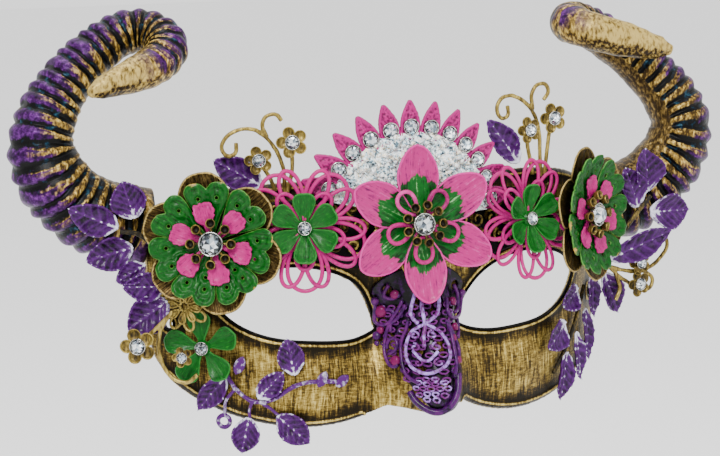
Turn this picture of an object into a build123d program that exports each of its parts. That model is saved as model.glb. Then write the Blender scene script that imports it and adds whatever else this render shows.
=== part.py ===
from build123d import *
import os
from math import asin, cos, degrees, exp, radians, sin, sqrt, tan

os.makedirs("parts", exist_ok=True)

# A horned masquerade half mask, in millimetres. +Z is up, the wearer faces -Y, +X is to the
# right of someone who looks at the mask. The origin is between the eyes, where the nose bridge
# of the wearer would touch the shell.

# ---- shell: a face-shaped sheet that wraps round an ellipse --------------------------------
WRAP_A = 100.0           # half width of the ellipse that the shell follows, along X
WRAP_B = 78.0            # its half depth, along Y
SHELL_T = 2.0            # thickness of the moulded shell
NOSE_RISE = 19.0         # how far the nose tip stands out beyond the brow
NOSE_BROW = 2.0          # how far the ridge already stands out at the brow
NOSE_TOP_Z = 18.0        # the ridge starts to rise here
NOSE_RUN = 52.0          # height over which it rises
NOSE_WIDTH = 8.5         # half width of the ridge at the brow
NOSE_FLARE = 4.0         # how much wider it is at the tip
NOSE_TUCK = 6.0          # how far the tip tucks back at the lower edge
SOCKET_DEPTH = 5.0       # hollow at the inner corner of each eye
CHEEK_RISE = 3.0         # fullness of each cheek
BROW_LEAN = 0.003        # backward lean of the forehead, per mm
GRID_STEP = 4.0          # spacing of the points that carry the shell's surface

# Half outlines in front view, (x, z), for x >= 0.
TOP_EDGE = [(0, 41), (30, 43), (58, 42), (78, 36), (88, 23)]
SIDE_EDGE = [(88, 23), (89, 5), (88, -12)]
CHEEK_EDGE = [(88, -12), (84, -26), (74, -35), (60, -41), (46, -43.5), (33, -43), (22, -40), (15, -36.5)]
NOSE_EDGE = [(15, -36.5), (9, -37.2), (0, -38.5)]
EYE_LOWER = [(16, -10), (22, -12.5), (30, -13.3), (41, -13), (53, -11.6), (62, -8), (71, 2)]
EYE_UPPER = [(71, 2), (66, 9), (54, 13.3), (43, 14), (33, 12), (25, 8), (20, 2), (16, -10)]
TIE_HOLE_R = 2.0         # holes for the ribbon, near each side edge
TIE_HOLE_X = 83.5
TIE_HOLE_Z = -7.5

# ---- horns ---------------------------------------------------------------------------------
# Centre line of each horn from base to tip, as (distance to the side of the nose, y, z).
HORN_LINES = {
    -1: [(72, 44, 28.5), (88, 44, 27.5), (105, 43.5, 30.5), (119.5, 42.5, 40.5), (127, 42, 53), (125.5, 43.5, 65.5),
         (118, 46, 77.5), (108, 48, 87.5), (99, 49.5, 93.5), (91, 49.8, 97), (84.5, 47.5, 96.8), (80.5, 42, 94),
         (80.5, 36, 90), (84.5, 31.5, 87), (91, 29.7, 84.7), (99, 28, 82.3), (107, 26, 80), (112.5, 25, 79)],
    1: [(72, 44, 23.5), (88, 44, 22.5), (105, 43.5, 25.5), (119.5, 42.5, 35.5), (127, 42, 48), (125.5, 43.5, 59.5),
        (119, 45.8, 69), (110.5, 47.8, 78), (101, 49.3, 85), (92, 49.8, 90.5), (84.5, 47.8, 93), (79.5, 42.5, 93.8),
        (78.8, 36.5, 92.8), (82.5, 31.8, 91), (90, 29.5, 88.8), (99, 28, 86.5), (107, 26.5, 84.5), (112, 25.5, 83.3)],
}
HORN_RADII = [14.5, 14.5, 14.5, 14, 13.3, 12.5, 11.3, 10.2, 9.3, 8.6, 8, 7.5, 7.4, 7.2, 6.6, 4]
TIP_SHARES = [0.86, 0.91, 0.955, 0.985]   # sections of the smooth tip, as shares of the length
HORN_RIBS = 27           # crests from the base to the start of the smooth tip
RIBBED_SHARE = 0.80      # share of the horn's length that carries ribs
RIB_DEPTH = 0.09         # valley depth as a share of the radius
RIB_SHIFT = 0.05         # valleys sit this share of the radius nearer to the inside of the bend
HEAD_HALF_HEIGHT = 55.0  # the horns' bases stop at the head over this height, above and below

# ---- findings ------------------------------------------------------------------------------
SHEET = 0.9              # stamped sheet metal
CASTING = 1.4            # cast filigree and vine stems
WIRE_R = 0.75            # round wire of the sprays
STEM_R = 0.8             # stems of the cast leaf sprigs
TWIG_R = 0.6             # their side twigs
CUP_WALL = 0.5           # wall of a stone's cup
BIG_STONE_R = 4.0        # 8 mm centre stones
FAN_STONE_R = 2.5        # 5 mm stones of the fan
SMALL_STONE_R = 2.0      # 4 mm stones in the small flowers
CHATON_R = 2.2           # stones of the spray flowers
LAYER = 1.6              # pitch of the layers of a stacked flower


def blend(share):
    """Smooth step from 0 to 1."""
    share = min(max(share, 0.0), 1.0)
    return share * share * (3 - 2 * share)


def bump(distance, width):
    return exp(-((distance / width) ** 2))


def face_y(x, z):
    """Depth of the shell's outer face at (x, z)."""
    side = abs(x)
    wrap = WRAP_B * (1 - sqrt(1 - (x / WRAP_A) ** 2))
    rise = NOSE_BROW + NOSE_RISE * blend((NOSE_TOP_Z - z) / NOSE_RUN) - NOSE_TUCK * blend((-33 - z) / 8)
    nose = rise * bump(x, NOSE_WIDTH + NOSE_FLARE * blend((10 - z) / 40))
    socket = SOCKET_DEPTH * bump(side - 17, 8) * bump(z + 8, 14)
    cheek = CHEEK_RISE * bump(side - 42, 22) * bump(z + 28, 10)
    lean = BROW_LEAN * max(z - 8, 0) ** 2
    return wrap + socket + lean - nose - cheek


def face_normal(x, z, step=0.5):
    """Outward unit normal of the shell's outer face."""
    slope_x = (face_y(x + step, z) - face_y(x - step, z)) / (2 * step)
    slope_z = (face_y(x, z + step) - face_y(x, z - step)) / (2 * step)
    return Vector(slope_x, -1, slope_z).normalized()


def face_point(x, z, lift=0.0):
    return Vector(x, face_y(x, z), z) + face_normal(x, z) * lift


def skin(lift, half_width, low, high, step):
    """The shell's outer face, moved outward by lift, as one smooth face."""
    columns = round(2 * half_width / step)
    rows = round((high - low) / step)
    points = []
    for i in range(columns + 1):
        x = -half_width + 2 * half_width * i / columns
        points.append([face_point(x, low + (high - low) * j / rows, lift) for j in range(rows + 1)])
    return Face.make_surface_from_array_of_points(points, tol=0.02, min_deg=3, max_deg=5)


def plate(lift, thickness, half_width, low, high, step):
    """A sheet that follows the shell: its outer side is at lift, its inner side thickness behind."""
    face = skin(lift, half_width, low, high, step)
    return Solid.thicken(face, thickness, normal_override=Vector(0, 1, 0))


def front_prism(outline):
    """Extrudes an (x, z) outline along Y, through everything."""
    return extrude(Plane.XZ * outline, amount=150, both=True)


def mirrored(points):
    return [(-x, z) for x, z in reversed(points)]


# ---- shell ---------------------------------------------------------------------------------
def shell_outline():
    edges = Spline(*mirrored(TOP_EDGE)[:-1], *TOP_EDGE)
    edges += Spline(*SIDE_EDGE)
    edges += Spline(*CHEEK_EDGE)
    edges += Spline(*NOSE_EDGE, *mirrored(NOSE_EDGE)[1:])
    edges += Spline(*mirrored(CHEEK_EDGE))
    edges += Spline(*mirrored(SIDE_EDGE))
    return make_face(edges)


def eye_hole(side):
    lower = Spline(*[(side * x, z) for x, z in EYE_LOWER])
    upper = Spline(*[(side * x, z) for x, z in EYE_UPPER])
    return make_face(lower + upper)


def tie_hole_axis(side):
    """Plane on the shell's outer face with its Z axis along the hole, pointing off the face."""
    x = side * TIE_HOLE_X
    return Plane(origin=face_point(x, TIE_HOLE_Z), z_dir=face_normal(x, TIE_HOLE_Z))


def mask_shell():
    sheet = plate(0, SHELL_T, 92, -52, 52, GRID_STEP)
    shell = sheet & front_prism(shell_outline())
    for side in (-1, 1):
        shell -= front_prism(eye_hole(side))
        shell -= tie_hole_axis(side) * Cylinder(TIE_HOLE_R, 12)
    return shell


# ---- horns ---------------------------------------------------------------------------------
def horn_radius(share):
    """Radius at a share of the horn's length, read between the stated radii."""
    place = share * (len(HORN_RADII) - 1)
    index = min(int(place), len(HORN_RADII) - 2)
    return HORN_RADII[index] + (HORN_RADII[index + 1] - HORN_RADII[index]) * (place - index)


def horn_section(path, share, radius, shift):
    """Circle across the horn, moved towards the inside of the bend by shift."""
    tangent = path.tangent_at(share)
    ahead = path.tangent_at(min(share + 0.01, 1.0))
    behind = path.tangent_at(max(share - 0.01, 0.0))
    inward = (ahead - behind).normalized()
    centre = path.position_at(share) + inward * shift
    return Wire.make_circle(radius, Plane(origin=centre, x_dir=Vector(0, 1, 0).cross(tangent), z_dir=tangent))


def horn(side, shell):
    """A ribbed ram horn, seated against the shell."""
    path = Spline(*[(side * x, y, z) for x, y, z in HORN_LINES[side]])
    sections = []
    for rib in range(HORN_RIBS):
        crest = RIBBED_SHARE * rib / HORN_RIBS
        valley = RIBBED_SHARE * (rib + 0.55) / HORN_RIBS
        radius = horn_radius(valley)
        sections.append(horn_section(path, crest, horn_radius(crest), 0))
        sections.append(horn_section(path, valley, radius * (1 - RIB_DEPTH), radius * RIB_SHIFT))
    for share in [RIBBED_SHARE] + TIP_SHARES:
        sections.append(horn_section(path, share, horn_radius(share), 0))
    sections.append(horn_section(path, 1.0, HORN_RADII[-1] * 0.5, 0))
    rings = [Solid.make_loft(pair, ruled=True) for pair in zip(sections, sections[1:])]
    body = rings[0].fuse(*rings[1:])
    inside = Ellipse(WRAP_A - SHELL_T, WRAP_B - SHELL_T)
    core = Plane((0, WRAP_B, 0)) * extrude(inside, amount=HEAD_HALF_HEIGHT, both=True)
    return (body - core - shell).solids().sort_by(SortBy.VOLUME)[-1]


# ---- flat shapes, drawn in a finding's own plane with its centre at the origin ---------------
def petal(reach, width, start=0.0):
    """Rounded petal along +Y from start to reach."""
    length = reach - start
    return Pos(0, start + length / 2) * Ellipse(width / 2, length / 2)


def pointed(reach, width, start=0.0):
    """Pointed leaf or petal along +Y from start to reach, between two arcs."""
    half = (reach - start) / 2
    left = ThreePointArc((0, start), (-width / 2, start + half * 0.9), (0, reach))
    right = ThreePointArc((0, reach), (width / 2, start + half * 0.9), (0, start))
    return make_face(left + right)


def ringed(shape, count, first=0.0):
    """The same outline count times round the centre, as one sketch."""
    whole = Sketch()
    for k in range(count):
        whole += Rot(0, 0, first + 360 * k / count) * shape
    return whole


def loop(reach, width, start, band):
    """A long wire loop along +Y."""
    outer = petal(reach, width, start)
    inner = petal(reach - band, width - 2 * band, start + band)
    return outer - inner


def dished(outline, thickness, bowl, hub):
    """A stamped plate: the outline cut from a bowl of the given radius, with a flat hub."""
    cap = Pos(0, 0, bowl) * (Sphere(bowl) - Sphere(bowl - thickness))
    cut = extrude(outline, amount=bowl * 0.9) & cap
    middle = Cylinder(hub, LAYER, align=(Align.CENTER, Align.CENTER, Align.MIN))
    return cut + middle


# ---- findings, each built round the Z axis -----------------------------------------------------
def rhinestone(radius):
    """A faceted glass stone in its thin metal cup, one solid as it is bought."""
    girdle = radius * 0.25
    profile = Polyline((0, girdle), (radius, girdle), (radius, girdle * 1.8), (radius * 0.55, radius * 0.9),
                       (0, radius * 0.9), (0, girdle))
    glass = revolve(Plane.XZ * make_face(profile), Axis.Z)
    cup = Cylinder(radius + CUP_WALL, girdle + 1.0, align=(Align.CENTER, Align.CENTER, Align.MIN))
    cup -= Pos(0, 0, girdle) * Cylinder(radius, 2.0, align=(Align.CENTER, Align.CENTER, Align.MIN))
    return glass + cup


def petal_flower(count, reach, width, thickness, bowl, pointy, first=0.0):
    shape = pointed(reach, width) if pointy else petal(reach, width, reach * 0.12)
    outline = ringed(shape, count, first) + Circle(reach * 0.28)
    return dished(outline, thickness, bowl, 3.0)


def back_flower(reach=25.0):
    return dished(ringed(petal(reach, reach * 0.88, 2), 6, 10) + Circle(8), SHEET, 90, 3.0)


def heart_flower(reach=20.5):
    """Seven notched petals, each drilled with three small holes."""
    arm = petal(reach, reach * 0.7, 1.5)
    arm -= Pos(0, reach + 0.4) * Circle(1.7)
    for x, y in ((-2.6, reach * 0.68), (2.6, reach * 0.68), (0, reach * 0.52)):
        arm -= Pos(x, y) * Circle(0.7)
    return dished(ringed(arm, 7, 5) + Circle(reach * 0.38), SHEET, 55, 3.0)


def lobed_flower(reach=13.8):
    """Six arms with ragged, nearly square ends."""
    stem = Pos(0, reach * 0.4) * Rectangle(2.6, reach * 0.8)
    end = Pos(0, reach * 0.8) * Rectangle(6.2, 5.0)
    end += Pos(0, reach * 0.8) * Rectangle(4.6, 6.4)
    return dished(ringed(stem + end, 6, 13) + Circle(4), SHEET, 60, 3.0)


def bead_cups(count, ring, radius):
    """Small open cups standing in a ring on a washer."""
    low = (Align.CENTER, Align.CENTER, Align.MIN)
    base = Cylinder(ring + radius * 0.7, 0.8, align=low)
    for k in range(count):
        seat = Rot(0, 0, 360 * k / count) * Pos(ring, 0, 0)
        base += seat * Cylinder(radius, 2.6, align=low)
        base -= seat * Pos(0, 0, 1.2) * Cylinder(radius * 0.62, 3, align=low)
    return base


def loop_rosette(count, reach, first):
    """Pairs of crossing wire loops: an outer and an inner one in each direction."""
    outline = ringed(loop(reach, reach * 0.74, 1.0, 1.5), count, first)
    outline += ringed(loop(reach * 0.76, reach * 0.42, 1.0, 1.4), count, first)
    return extrude(outline + Circle(3.0), amount=CASTING)


def loop_flower():
    """Five round loops with one shared middle."""
    outline = ringed(loop(10.6, 8.2, 1.2, 1.5), 5, 36) + Circle(3.0)
    return extrude(outline, amount=LAYER)


def round_filigree(reach=18.0, arms=12):
    """Lace disc: long loops round a ring and a hub."""
    outline = ringed(loop(reach, reach * 0.47, reach / 6, 1.1), arms, 15)
    outline += (Circle(reach / 2) - Circle(reach / 2 - 1.4)) + Circle(reach * 0.22)
    return extrude(outline, amount=CASTING)


FAN_RAYS = 12
FAN_SPREAD = 154.0       # degrees from the first ray to the last
FAN_TILT = -6.0          # the whole fan is turned a little to the right
FAN_BEND = 100.0         # radius to which the fan is bent round the brow
FAN_TIP = 41.0           # radius of the pink points
FAN_STONE_RING = 31.5    # radius of the row of stones
FAN_BODY = 33.0          # radius where the rays part


def fan_angle(ray):
    """Turn of a ray away from straight up, left positive."""
    return FAN_TILT + FAN_SPREAD * (0.5 - ray / (FAN_RAYS - 1))


def on_bend(x, y):
    """Seat on the bent fan for something at (x, y) on its flat pattern."""
    angle = asin(x / FAN_BEND)
    return Pos(x, y, FAN_BEND * (cos(angle) - 1)) * Rot(0, degrees(angle), 0)


def fan_plate():
    """Twelve pierced rays that part into points beyond the stones, bent round the brow."""
    outline = Sketch()
    slots = Sketch()
    for ray in range(FAN_RAYS):
        turn = Rot(0, 0, fan_angle(ray))
        outline += turn * pointed(FAN_TIP, 8.4, 22.0)
        outline += turn * Polygon((-1.5, 8), (1.5, 8), (4.0, FAN_BODY - 3), (-4.0, FAN_BODY - 3), align=None)
        slots += turn * Pos(0, 18.5) * SlotOverall(9.0, 1.3, rotation=90)
        slots += turn * Pos(0, 36) * Circle(0.7)
    tube = Cylinder(FAN_BEND, 150, rotation=(90, 0, 0)) - Cylinder(FAN_BEND - SHEET, 160, rotation=(90, 0, 0))
    return extrude(outline + Circle(9.5) - slots, amount=FAN_BEND / 2, both=True) & Pos(0, 0, -FAN_BEND) * tube


# ---- leaves and wires, drawn between points of the mask's own frame ---------------------------
def leaf(base, tip, width, facing, curl=0.12):
    """A leaf from base to tip, cupped across, that shows its face towards facing."""
    base = Vector(*base)
    tip = Vector(*tip)
    along = tip - base
    normal = facing - along * (facing.dot(along) / along.dot(along))
    normal = normal.normalized()
    length = along.length
    bowl = length / (8 * curl) * 2
    outline = pointed(length, width)
    cap = Pos(0, length / 2, -bowl) * (Sphere(bowl) - Sphere(bowl - SHEET))
    blade = Pos(0, 0, -bowl * 0.5) * extrude(outline, amount=bowl) & cap
    return Plane(origin=base, x_dir=along.cross(normal), z_dir=normal) * blade


def smooth_path(points):
    """Straight runs joined by arcs that are as large as the runs allow."""
    points = [Vector(*p) for p in points]
    radii = []
    for before, corner, after in zip(points, points[1:], points[2:]):
        arriving = corner - before
        leaving = after - corner
        half_turn = radians(arriving.get_angle(leaving)) / 2
        radii.append(0.45 * min(arriving.length, leaving.length) / tan(half_turn))
    return FilletPolyline(*points, radius=radii)


def wire(points, radius=WIRE_R):
    """A round wire through the given points."""
    path = smooth_path(points)
    start = Plane(origin=path @ 0, z_dir=path % 0)
    return sweep(start * Circle(radius), path)


def facing(azimuth, elevation=0.0):
    """Unit vector that points at a viewer who stands azimuth degrees to the right of the front."""
    a = radians(azimuth)
    e = radians(elevation)
    return Vector(sin(a) * cos(e), -cos(a) * cos(e), sin(e))


def seat(origin, azimuth, elevation=0.0, lift=0.0):
    """Plane of a finding: Z towards the viewer, X level and to the right."""
    normal = facing(azimuth, elevation)
    level = Vector(0, 0, 1).cross(normal).normalized()
    return Plane(origin=Vector(*origin) + normal * lift, x_dir=level, z_dir=normal)


def flat_wire(place, points, radius=WIRE_R):
    """A wire that lies in a finding's plane."""
    return wire([tuple(place.from_local_coords(Vector(u, v, 0))) for u, v in points], radius)


# ---- where the findings sit --------------------------------------------------------------------
CENTRE = ((-4, -7.5, 28.7), -4, 6)              # place, azimuth and elevation of the centre group
FAN = ((-4.2, -3.2, 31.4), -2, 0)
SMALL_FLOWERS = {"left": ((-43.6, 1.8, 28.4), -20, 8), "right": ((42.2, 2.2, 26.4), 18, 6)}
BIG_FLOWERS = {"left": ((-73.6, 13.0, 24.0), -28, 4), "right": ((70.5, 13.0, 25.0), 35, 2)}
CHEEK_FLOWER = ((-76.0, 20.0, -14.4), -34, 0)
TEMPLE_FILIGREE = ((-82, 20.8, 1.0), -38, 0)

BROW_SPRAYS = {
    "left": ((-49.2, 10.4, 44.0), -14, [
        [(1.5, -4), (1.5, 4.2), (-0.2, 10), (-3.6, 15.4), (-8.5, 19.4), (-14, 19.6), (-18.8, 17.2), (-21, 13),
         (-18.6, 9.6), (-15.2, 10.8), (-15.4, 14.6)],
        [(-4.3, 16.4), (-6.3, 20.4), (-5, 23.8), (-1, 24.8), (0.9, 22)],
        [(4.2, 12), (4.6, 5), (2.6, -3.5)],
        [(-7, 6.5), (-4.2, 3.4), (-1.6, -3)]],
        [(-7.7, 8.4, 4.7), (4.2, 14.5, 5.2)]),
    "right": ((53.4, 12.4, 44.0), 10, [
        [(0, -4), (-0.4, 3.4), (-0.4, 11.8), (-2.3, 18.5), (-6.2, 23.6), (-12, 26.8), (-17.4, 26.2), (-19.8, 22.2),
         (-17.8, 18.2), (-14, 19), (-14.6, 23)],
        [(-3.4, 21), (-4.3, 26.2), (-1.8, 30), (2.4, 30.2), (4, 26.8), (1.4, 24.2)],
        [(-6.4, 11), (-5.6, 6.4), (-3.6, -3)],
        [(4.4, 15), (3.2, 8), (1.6, -3.4)]],
        [(-6.4, 13.7, 4.6), (4.2, 17.4, 5.2)]),
}
SIDE_SPRAYS = {
    "left": ((-93.2, 18.6, -3.7), -30, [
        [(5.6, 4), (1.4, -1.4), (0.0, -8), (1.2, -15.2), (5, -20.4), (10.4, -22), (14, -18.6)],
        [(1.0, -13.4), (-1.6, -19), (-6.4, -22.6), (-10.4, -20.4), (-9.6, -16), (-5.8, -15.4)],
        [(4.4, 2.6), (-1.2, -3), (-5.6, -6.8)]],
        [(-6.7, -8.3, 5.9), (9.0, -12.2, 3.4)]),
    "right": ((85.4, 22.0, 3.0), 12, [
        [(-3, 1.5), (5.4, -1.6), (14.5, -3.6), (23.2, -1.2), (29, 4.4), (28.6, 8.8), (24.4, 8.4), (24.6, 4.8)],
        [(9, -2.4), (17.6, -3.2), (22.2, -6.4), (20.6, -10.6), (16.2, -9.8)],
        [(0.8, -0.2), (6.8, -5.2), (12.6, -8.4)],
        [(3.4, -2.4), (6.4, -8.6), (3.8, -13)]],
        [(14.0, 0.6, 4.6), (13.6, -7.6, 4.6)]),
}

# Leaves: (base, tip, width), and the way the sprig faces.
BROW_LEAVES = {
    "left": ([((-55.5, 11.6, 43.0), (-72, 16.5, 52.6), 8.6)], -10),
    "right": ([((44.0, 9.4, 45.8), (31.0, 8.6, 62.4), 7.6)], 6),
}
HORN_LEAVES = {
    "left": ([((-98.5, 25.0, 32.5), (-103, 25.5, 46), 10.0), ((-104, 26, 29), (-123, 24, 37.5), 8.6),
              ((-99, 25.5, 22.5), (-116.5, 26, 18.5), 9.0), ((-95, 24.5, 16), (-106, 25, 10.5), 6.0),
              ((-88, 22.5, 8), (-104, 23.5, 8.6), 8.0), ((-88, 22.0, 3), (-102.5, 24, -7), 10.4)], -25),
    "right": ([((101, 25.5, 24), (95, 25, 39.5), 9.0), ((106, 27.5, 29.5), (104.5, 27, 46), 11.0),
               ((106.5, 27.0, 21.5), (124, 28.5, 21.5), 10.4)], 12),
}
HORN_STEMS = {
    "left": [(-92, 23.4, 22), (-97, 24.2, 27.5), (-104, 25.2, 28.4)],
    "right": [(93.5, 24.8, 15.5), (99.5, 25.6, 22), (106, 27, 28)],
}
SIDE_LEAVES = ([((86, 19.0, 6), (113, 21, 15), 8.0), ((79.5, 21.0, 1.5), (81, 23.5, -16), 4.4),
                ((85, 22.5, 0.5), (92, 25, -15.5), 8.0)], 15)

# Sprigs that lie on the shell: (x, z, lift off the shell's face) for each base, tip and stem point.
CHEEK_LEAVES = ([((71, -4, 3.4), (61, -9.5, 4), 7.6), ((63.5, -15.5, 3.4), (52.5, -24, 3.6), 8.2),
                 ((77, -13, 3.2), (79, -33, 3.2), 4.6), ((70, -20.5, 3.4), (72.5, -39, 3.6), 5.0),
                 ((63.5, -26.5, 3.4), (59.5, -44, 4), 7.0)], 28)
CHEEK_STEM = [(77, -4, 1.6), (73.5, -11, 1.6), (69.5, -18.5, 1.6), (63.5, -25.5, 1.6), (56.5, -33, 1.6)]
VINE_LEAVES = ([((-64, -24.5, 3), (-61.5, -18, 3), 4.0), ((-67, -25.5, 3.2), (-75, -38, 3.4), 6.4),
                ((-57.5, -32.5, 3.2), (-49.5, -23.5, 3.6), 6.0), ((-46.2, -24.5, 3.2), (-48, -11, 3.6), 7.2),
                ((-60, -39.5, 3.4), (-62.5, -53, 3.6), 7.6), ((-51.5, -38.5, 3.2), (-41, -49.5, 3.4), 7.6),
                ((-39, -28.5, 3), (-36, -23.5, 3), 3.6), ((-33, -28.5, 3), (-28.6, -25, 3), 3.6)], -18)
VINE_STEM = [(-68, -22, 1.6), (-64.8, -29.5, 1.6), (-59.4, -34.4, 1.6), (-53, -33.2, 1.6), (-46.2, -27.6, 1.6),
             (-39.5, -26.6, 1.6), (-32.5, -27, 1.6)]
VINE_TWIGS = [[(-59.6, -34.4, 1.6), (-60.4, -37.5, 1.7), (-60, -40.5, 1.8)],
              [(-56.5, -34.4, 1.6), (-53.6, -36.4, 1.6), (-51, -39, 1.6)],
              [(-64.6, -29.6, 1.6), (-67.6, -34, 1.7), (-67.6, -39, 1.8)]]
RING_BUD = (-67.8, -41.4, 1.9)
BUD_R = 2.2

# Outlines of the lace plates in front view, (x, z).
BROW_LACE = [(-62, 36), (-30, 39), (0, 40), (30, 39), (58, 35), (60, 19), (40, 16.5), (24, 13), (12, 17), (0, 19),
             (-12, 17), (-24, 13), (-40, 16.5), (-62, 19)]
NOSE_LACE = [(0, 14), (11, 11), (17, 4), (13.5, -3), (12, -12), (9, -18), (10.5, -24), (7.5, -31), (3, -37),
             (-3, -37), (-8, -31), (-11, -24), (-9.5, -17), (-12.5, -10), (-14, -3), (-18, 4), (-11, 11)]


def lace_band():
    """Two rows of round holes, set in brick order, in the brow band."""
    holes = Sketch()
    for row, z in enumerate((22.5, 28.5, 34.0)):
        for k in range(-9, 10):
            holes += Pos(6.2 * (k + 0.5 * (row % 2)), z) * Circle(1.7)
    return make_face(Polyline(*BROW_LACE, close=True)) - holes


def nose_lace():
    """A medallion with slots that fan out above it and scroll holes on each side."""
    outline = make_face(Spline(*NOSE_LACE, periodic=True))
    for side in (-1, 1):
        for x, z, r in ((13, 4.5, 1.7), (10.2, -2.5, 1.5), (9.0, -9.5, 1.6), (6.6, -16, 1.4), (6.8, -22.5, 1.6),
                        (4.8, -28.5, 1.3)):
            outline -= Pos(side * x, z) * Circle(r)
        outline -= Pos(side * 4.6, 1.5) * SlotOverall(8.5, 1.5, rotation=90 + side * 18)
    outline -= Pos(0, 1.0) * SlotOverall(9.0, 1.5, rotation=90)
    outline -= Pos(0, -14.5) * Ellipse(2.0, 3.4)
    return outline - Pos(0, -27) * Circle(1.8)


# ---- assembly ----------------------------------------------------------------------------------
nodes = {}


def add(name, *shapes):
    """Files the shapes under a node's name, as separate solids."""
    solids = []
    for shape in shapes:
        solids.extend(shape.solids())
    nodes[name] = Compound(children=solids) if len(solids) > 1 else solids[0]


def add_stack(name_to_shape, origin, azimuth, elevation, lift=0.0):
    """Stacks centre layers on one axis, LAYER apart, from the back to the front."""
    for name, shape in name_to_shape.items():
        add(name, seat(origin, azimuth, elevation, lift) * shape)
        lift += LAYER
    return lift


def lifted(leaves):
    """Leaves stated on the shell, as leaves in the mask's own frame."""
    return [(face_point(*base), face_point(*tip), width) for base, tip, width in leaves]


def joined(*shapes):
    """Shapes that are cast or soldered together, as one shape."""
    return shapes[0].fuse(*shapes[1:])


def shell_wire(points, radius):
    return wire([face_point(*point) for point in points], radius)


def leaf_sprig(name, leaves, azimuth, *stems):
    blades = [leaf(base, tip, width, facing(azimuth)) for base, tip, width in leaves]
    add(name, *blades, *stems)


shell = mask_shell()
add("mask_shell", shell)
add("horn_left", horn(-1, shell))
add("horn_right", horn(1, shell))
add("brow_filigree", plate(1.5, 1.2, 66, 8, 44, GRID_STEP) & front_prism(lace_band()))
add("nose_filigree", plate(1.7, 1.4, 22, -40, 18, 3.0) & front_prism(nose_lace()))

add("fan_plate", seat(*FAN) * fan_plate())
fan_stones = []
for ray in range(FAN_RAYS):
    angle = radians(fan_angle(ray))
    place = seat(*FAN) * on_bend(-FAN_STONE_RING * sin(angle), FAN_STONE_RING * cos(angle))
    fan_stones.append(place * rhinestone(FAN_STONE_R))
add("fan_rhinestones", *fan_stones)

top = add_stack({
    "center_filigree": round_filigree(),
    "center_petal_flower": petal_flower(6, 28.0, 15.5, SHEET, 120, True, 2),
    "center_loop_flower": loop_flower(),
}, *CENTRE)
add("center_bead_cups", seat(*CENTRE, lift=top) * bead_cups(9, 6.2, 1.9))
add("center_rhinestone", seat(*CENTRE, lift=top + 0.8) * rhinestone(3.6))

small_stones = []
for side, place in SMALL_FLOWERS.items():
    first = 36 if side == "left" else 44
    top = add_stack({
        "loop_filigree_" + side: loop_rosette(5, 22.0, first),
        "small_flower_" + side: petal_flower(6, 12.0, 9.2, SHEET, 26, False),
    }, *place)
    small_stones.append(seat(*place, lift=top) * rhinestone(SMALL_STONE_R))
add("small_rhinestones", *small_stones)

for side, place in BIG_FLOWERS.items():
    top = add_stack({
        "back_flower_" + side: back_flower(),
        "heart_flower_" + side: heart_flower(),
        "lobed_flower_" + side: lobed_flower(),
    }, *place)
    add("bead_cups_" + side, seat(*place, lift=top) * bead_cups(8, 6.4, 1.9))
    add("big_rhinestone_" + side, seat(*place, lift=top + 0.8) * rhinestone(BIG_STONE_R))

add("temple_filigree_left", seat(*TEMPLE_FILIGREE) * round_filigree(9.0, 8))
add("cheek_flower_left", seat(*CHEEK_FLOWER) * petal_flower(5, 13.6, 11.0, SHEET, 40, False, 4))
add("cheek_flower_rhinestone", seat(*CHEEK_FLOWER, lift=LAYER) * rhinestone(SMALL_STONE_R))

spray_stones = []
for kind, sprays in (("brow", BROW_SPRAYS), ("side", SIDE_SPRAYS)):
    for side, (origin, azimuth, wires, flowers) in sprays.items():
        place = seat(origin, azimuth)
        shape = [joined(*[flat_wire(place, points) for points in wires])]
        for u, v, reach in flowers:
            spot = place * Pos(u, v, WIRE_R)
            shape.append(spot * petal_flower(5, reach, reach * 0.95, SHEET, reach * 2.2, False, 20))
            spray_stones.append(spot * Pos(0, 0, LAYER) * rhinestone(CHATON_R * reach / 5.2))
        add(kind + "_spray_" + side, *shape)
add("spray_rhinestones", *spray_stones)

for side, (leaves, azimuth) in BROW_LEAVES.items():
    leaf_sprig("brow_leaf_" + side, leaves, azimuth)
for side, (leaves, azimuth) in HORN_LEAVES.items():
    leaf_sprig("horn_leaves_" + side, leaves, azimuth, wire(HORN_STEMS[side], 0.9))
leaf_sprig("side_leaves_right", *SIDE_LEAVES)
leaf_sprig("cheek_leaves_right", lifted(CHEEK_LEAVES[0]), CHEEK_LEAVES[1], shell_wire(CHEEK_STEM, STEM_R))
vine = [shell_wire(VINE_STEM, STEM_R)] + [shell_wire(twig, TWIG_R) for twig in VINE_TWIGS]
bud = Plane(origin=face_point(*RING_BUD), z_dir=face_normal(*RING_BUD[:2])) * Torus(BUD_R, STEM_R)
leaf_sprig("cheek_vine_left", lifted(VINE_LEAVES[0]), VINE_LEAVES[1], joined(*vine, bud))

for name, shape in nodes.items():
    export_step(shape, "parts/" + name + ".step")
print(len(nodes), "nodes")
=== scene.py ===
from math import cos, pi, radians, sin

import bpy
import numpy as np
from mathutils import Matrix, Vector, noise
from mathutils.bvhtree import BVHTree
from mathutils.geometry import delaunay_2d_cdt
from mathutils.kdtree import KDTree


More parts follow.
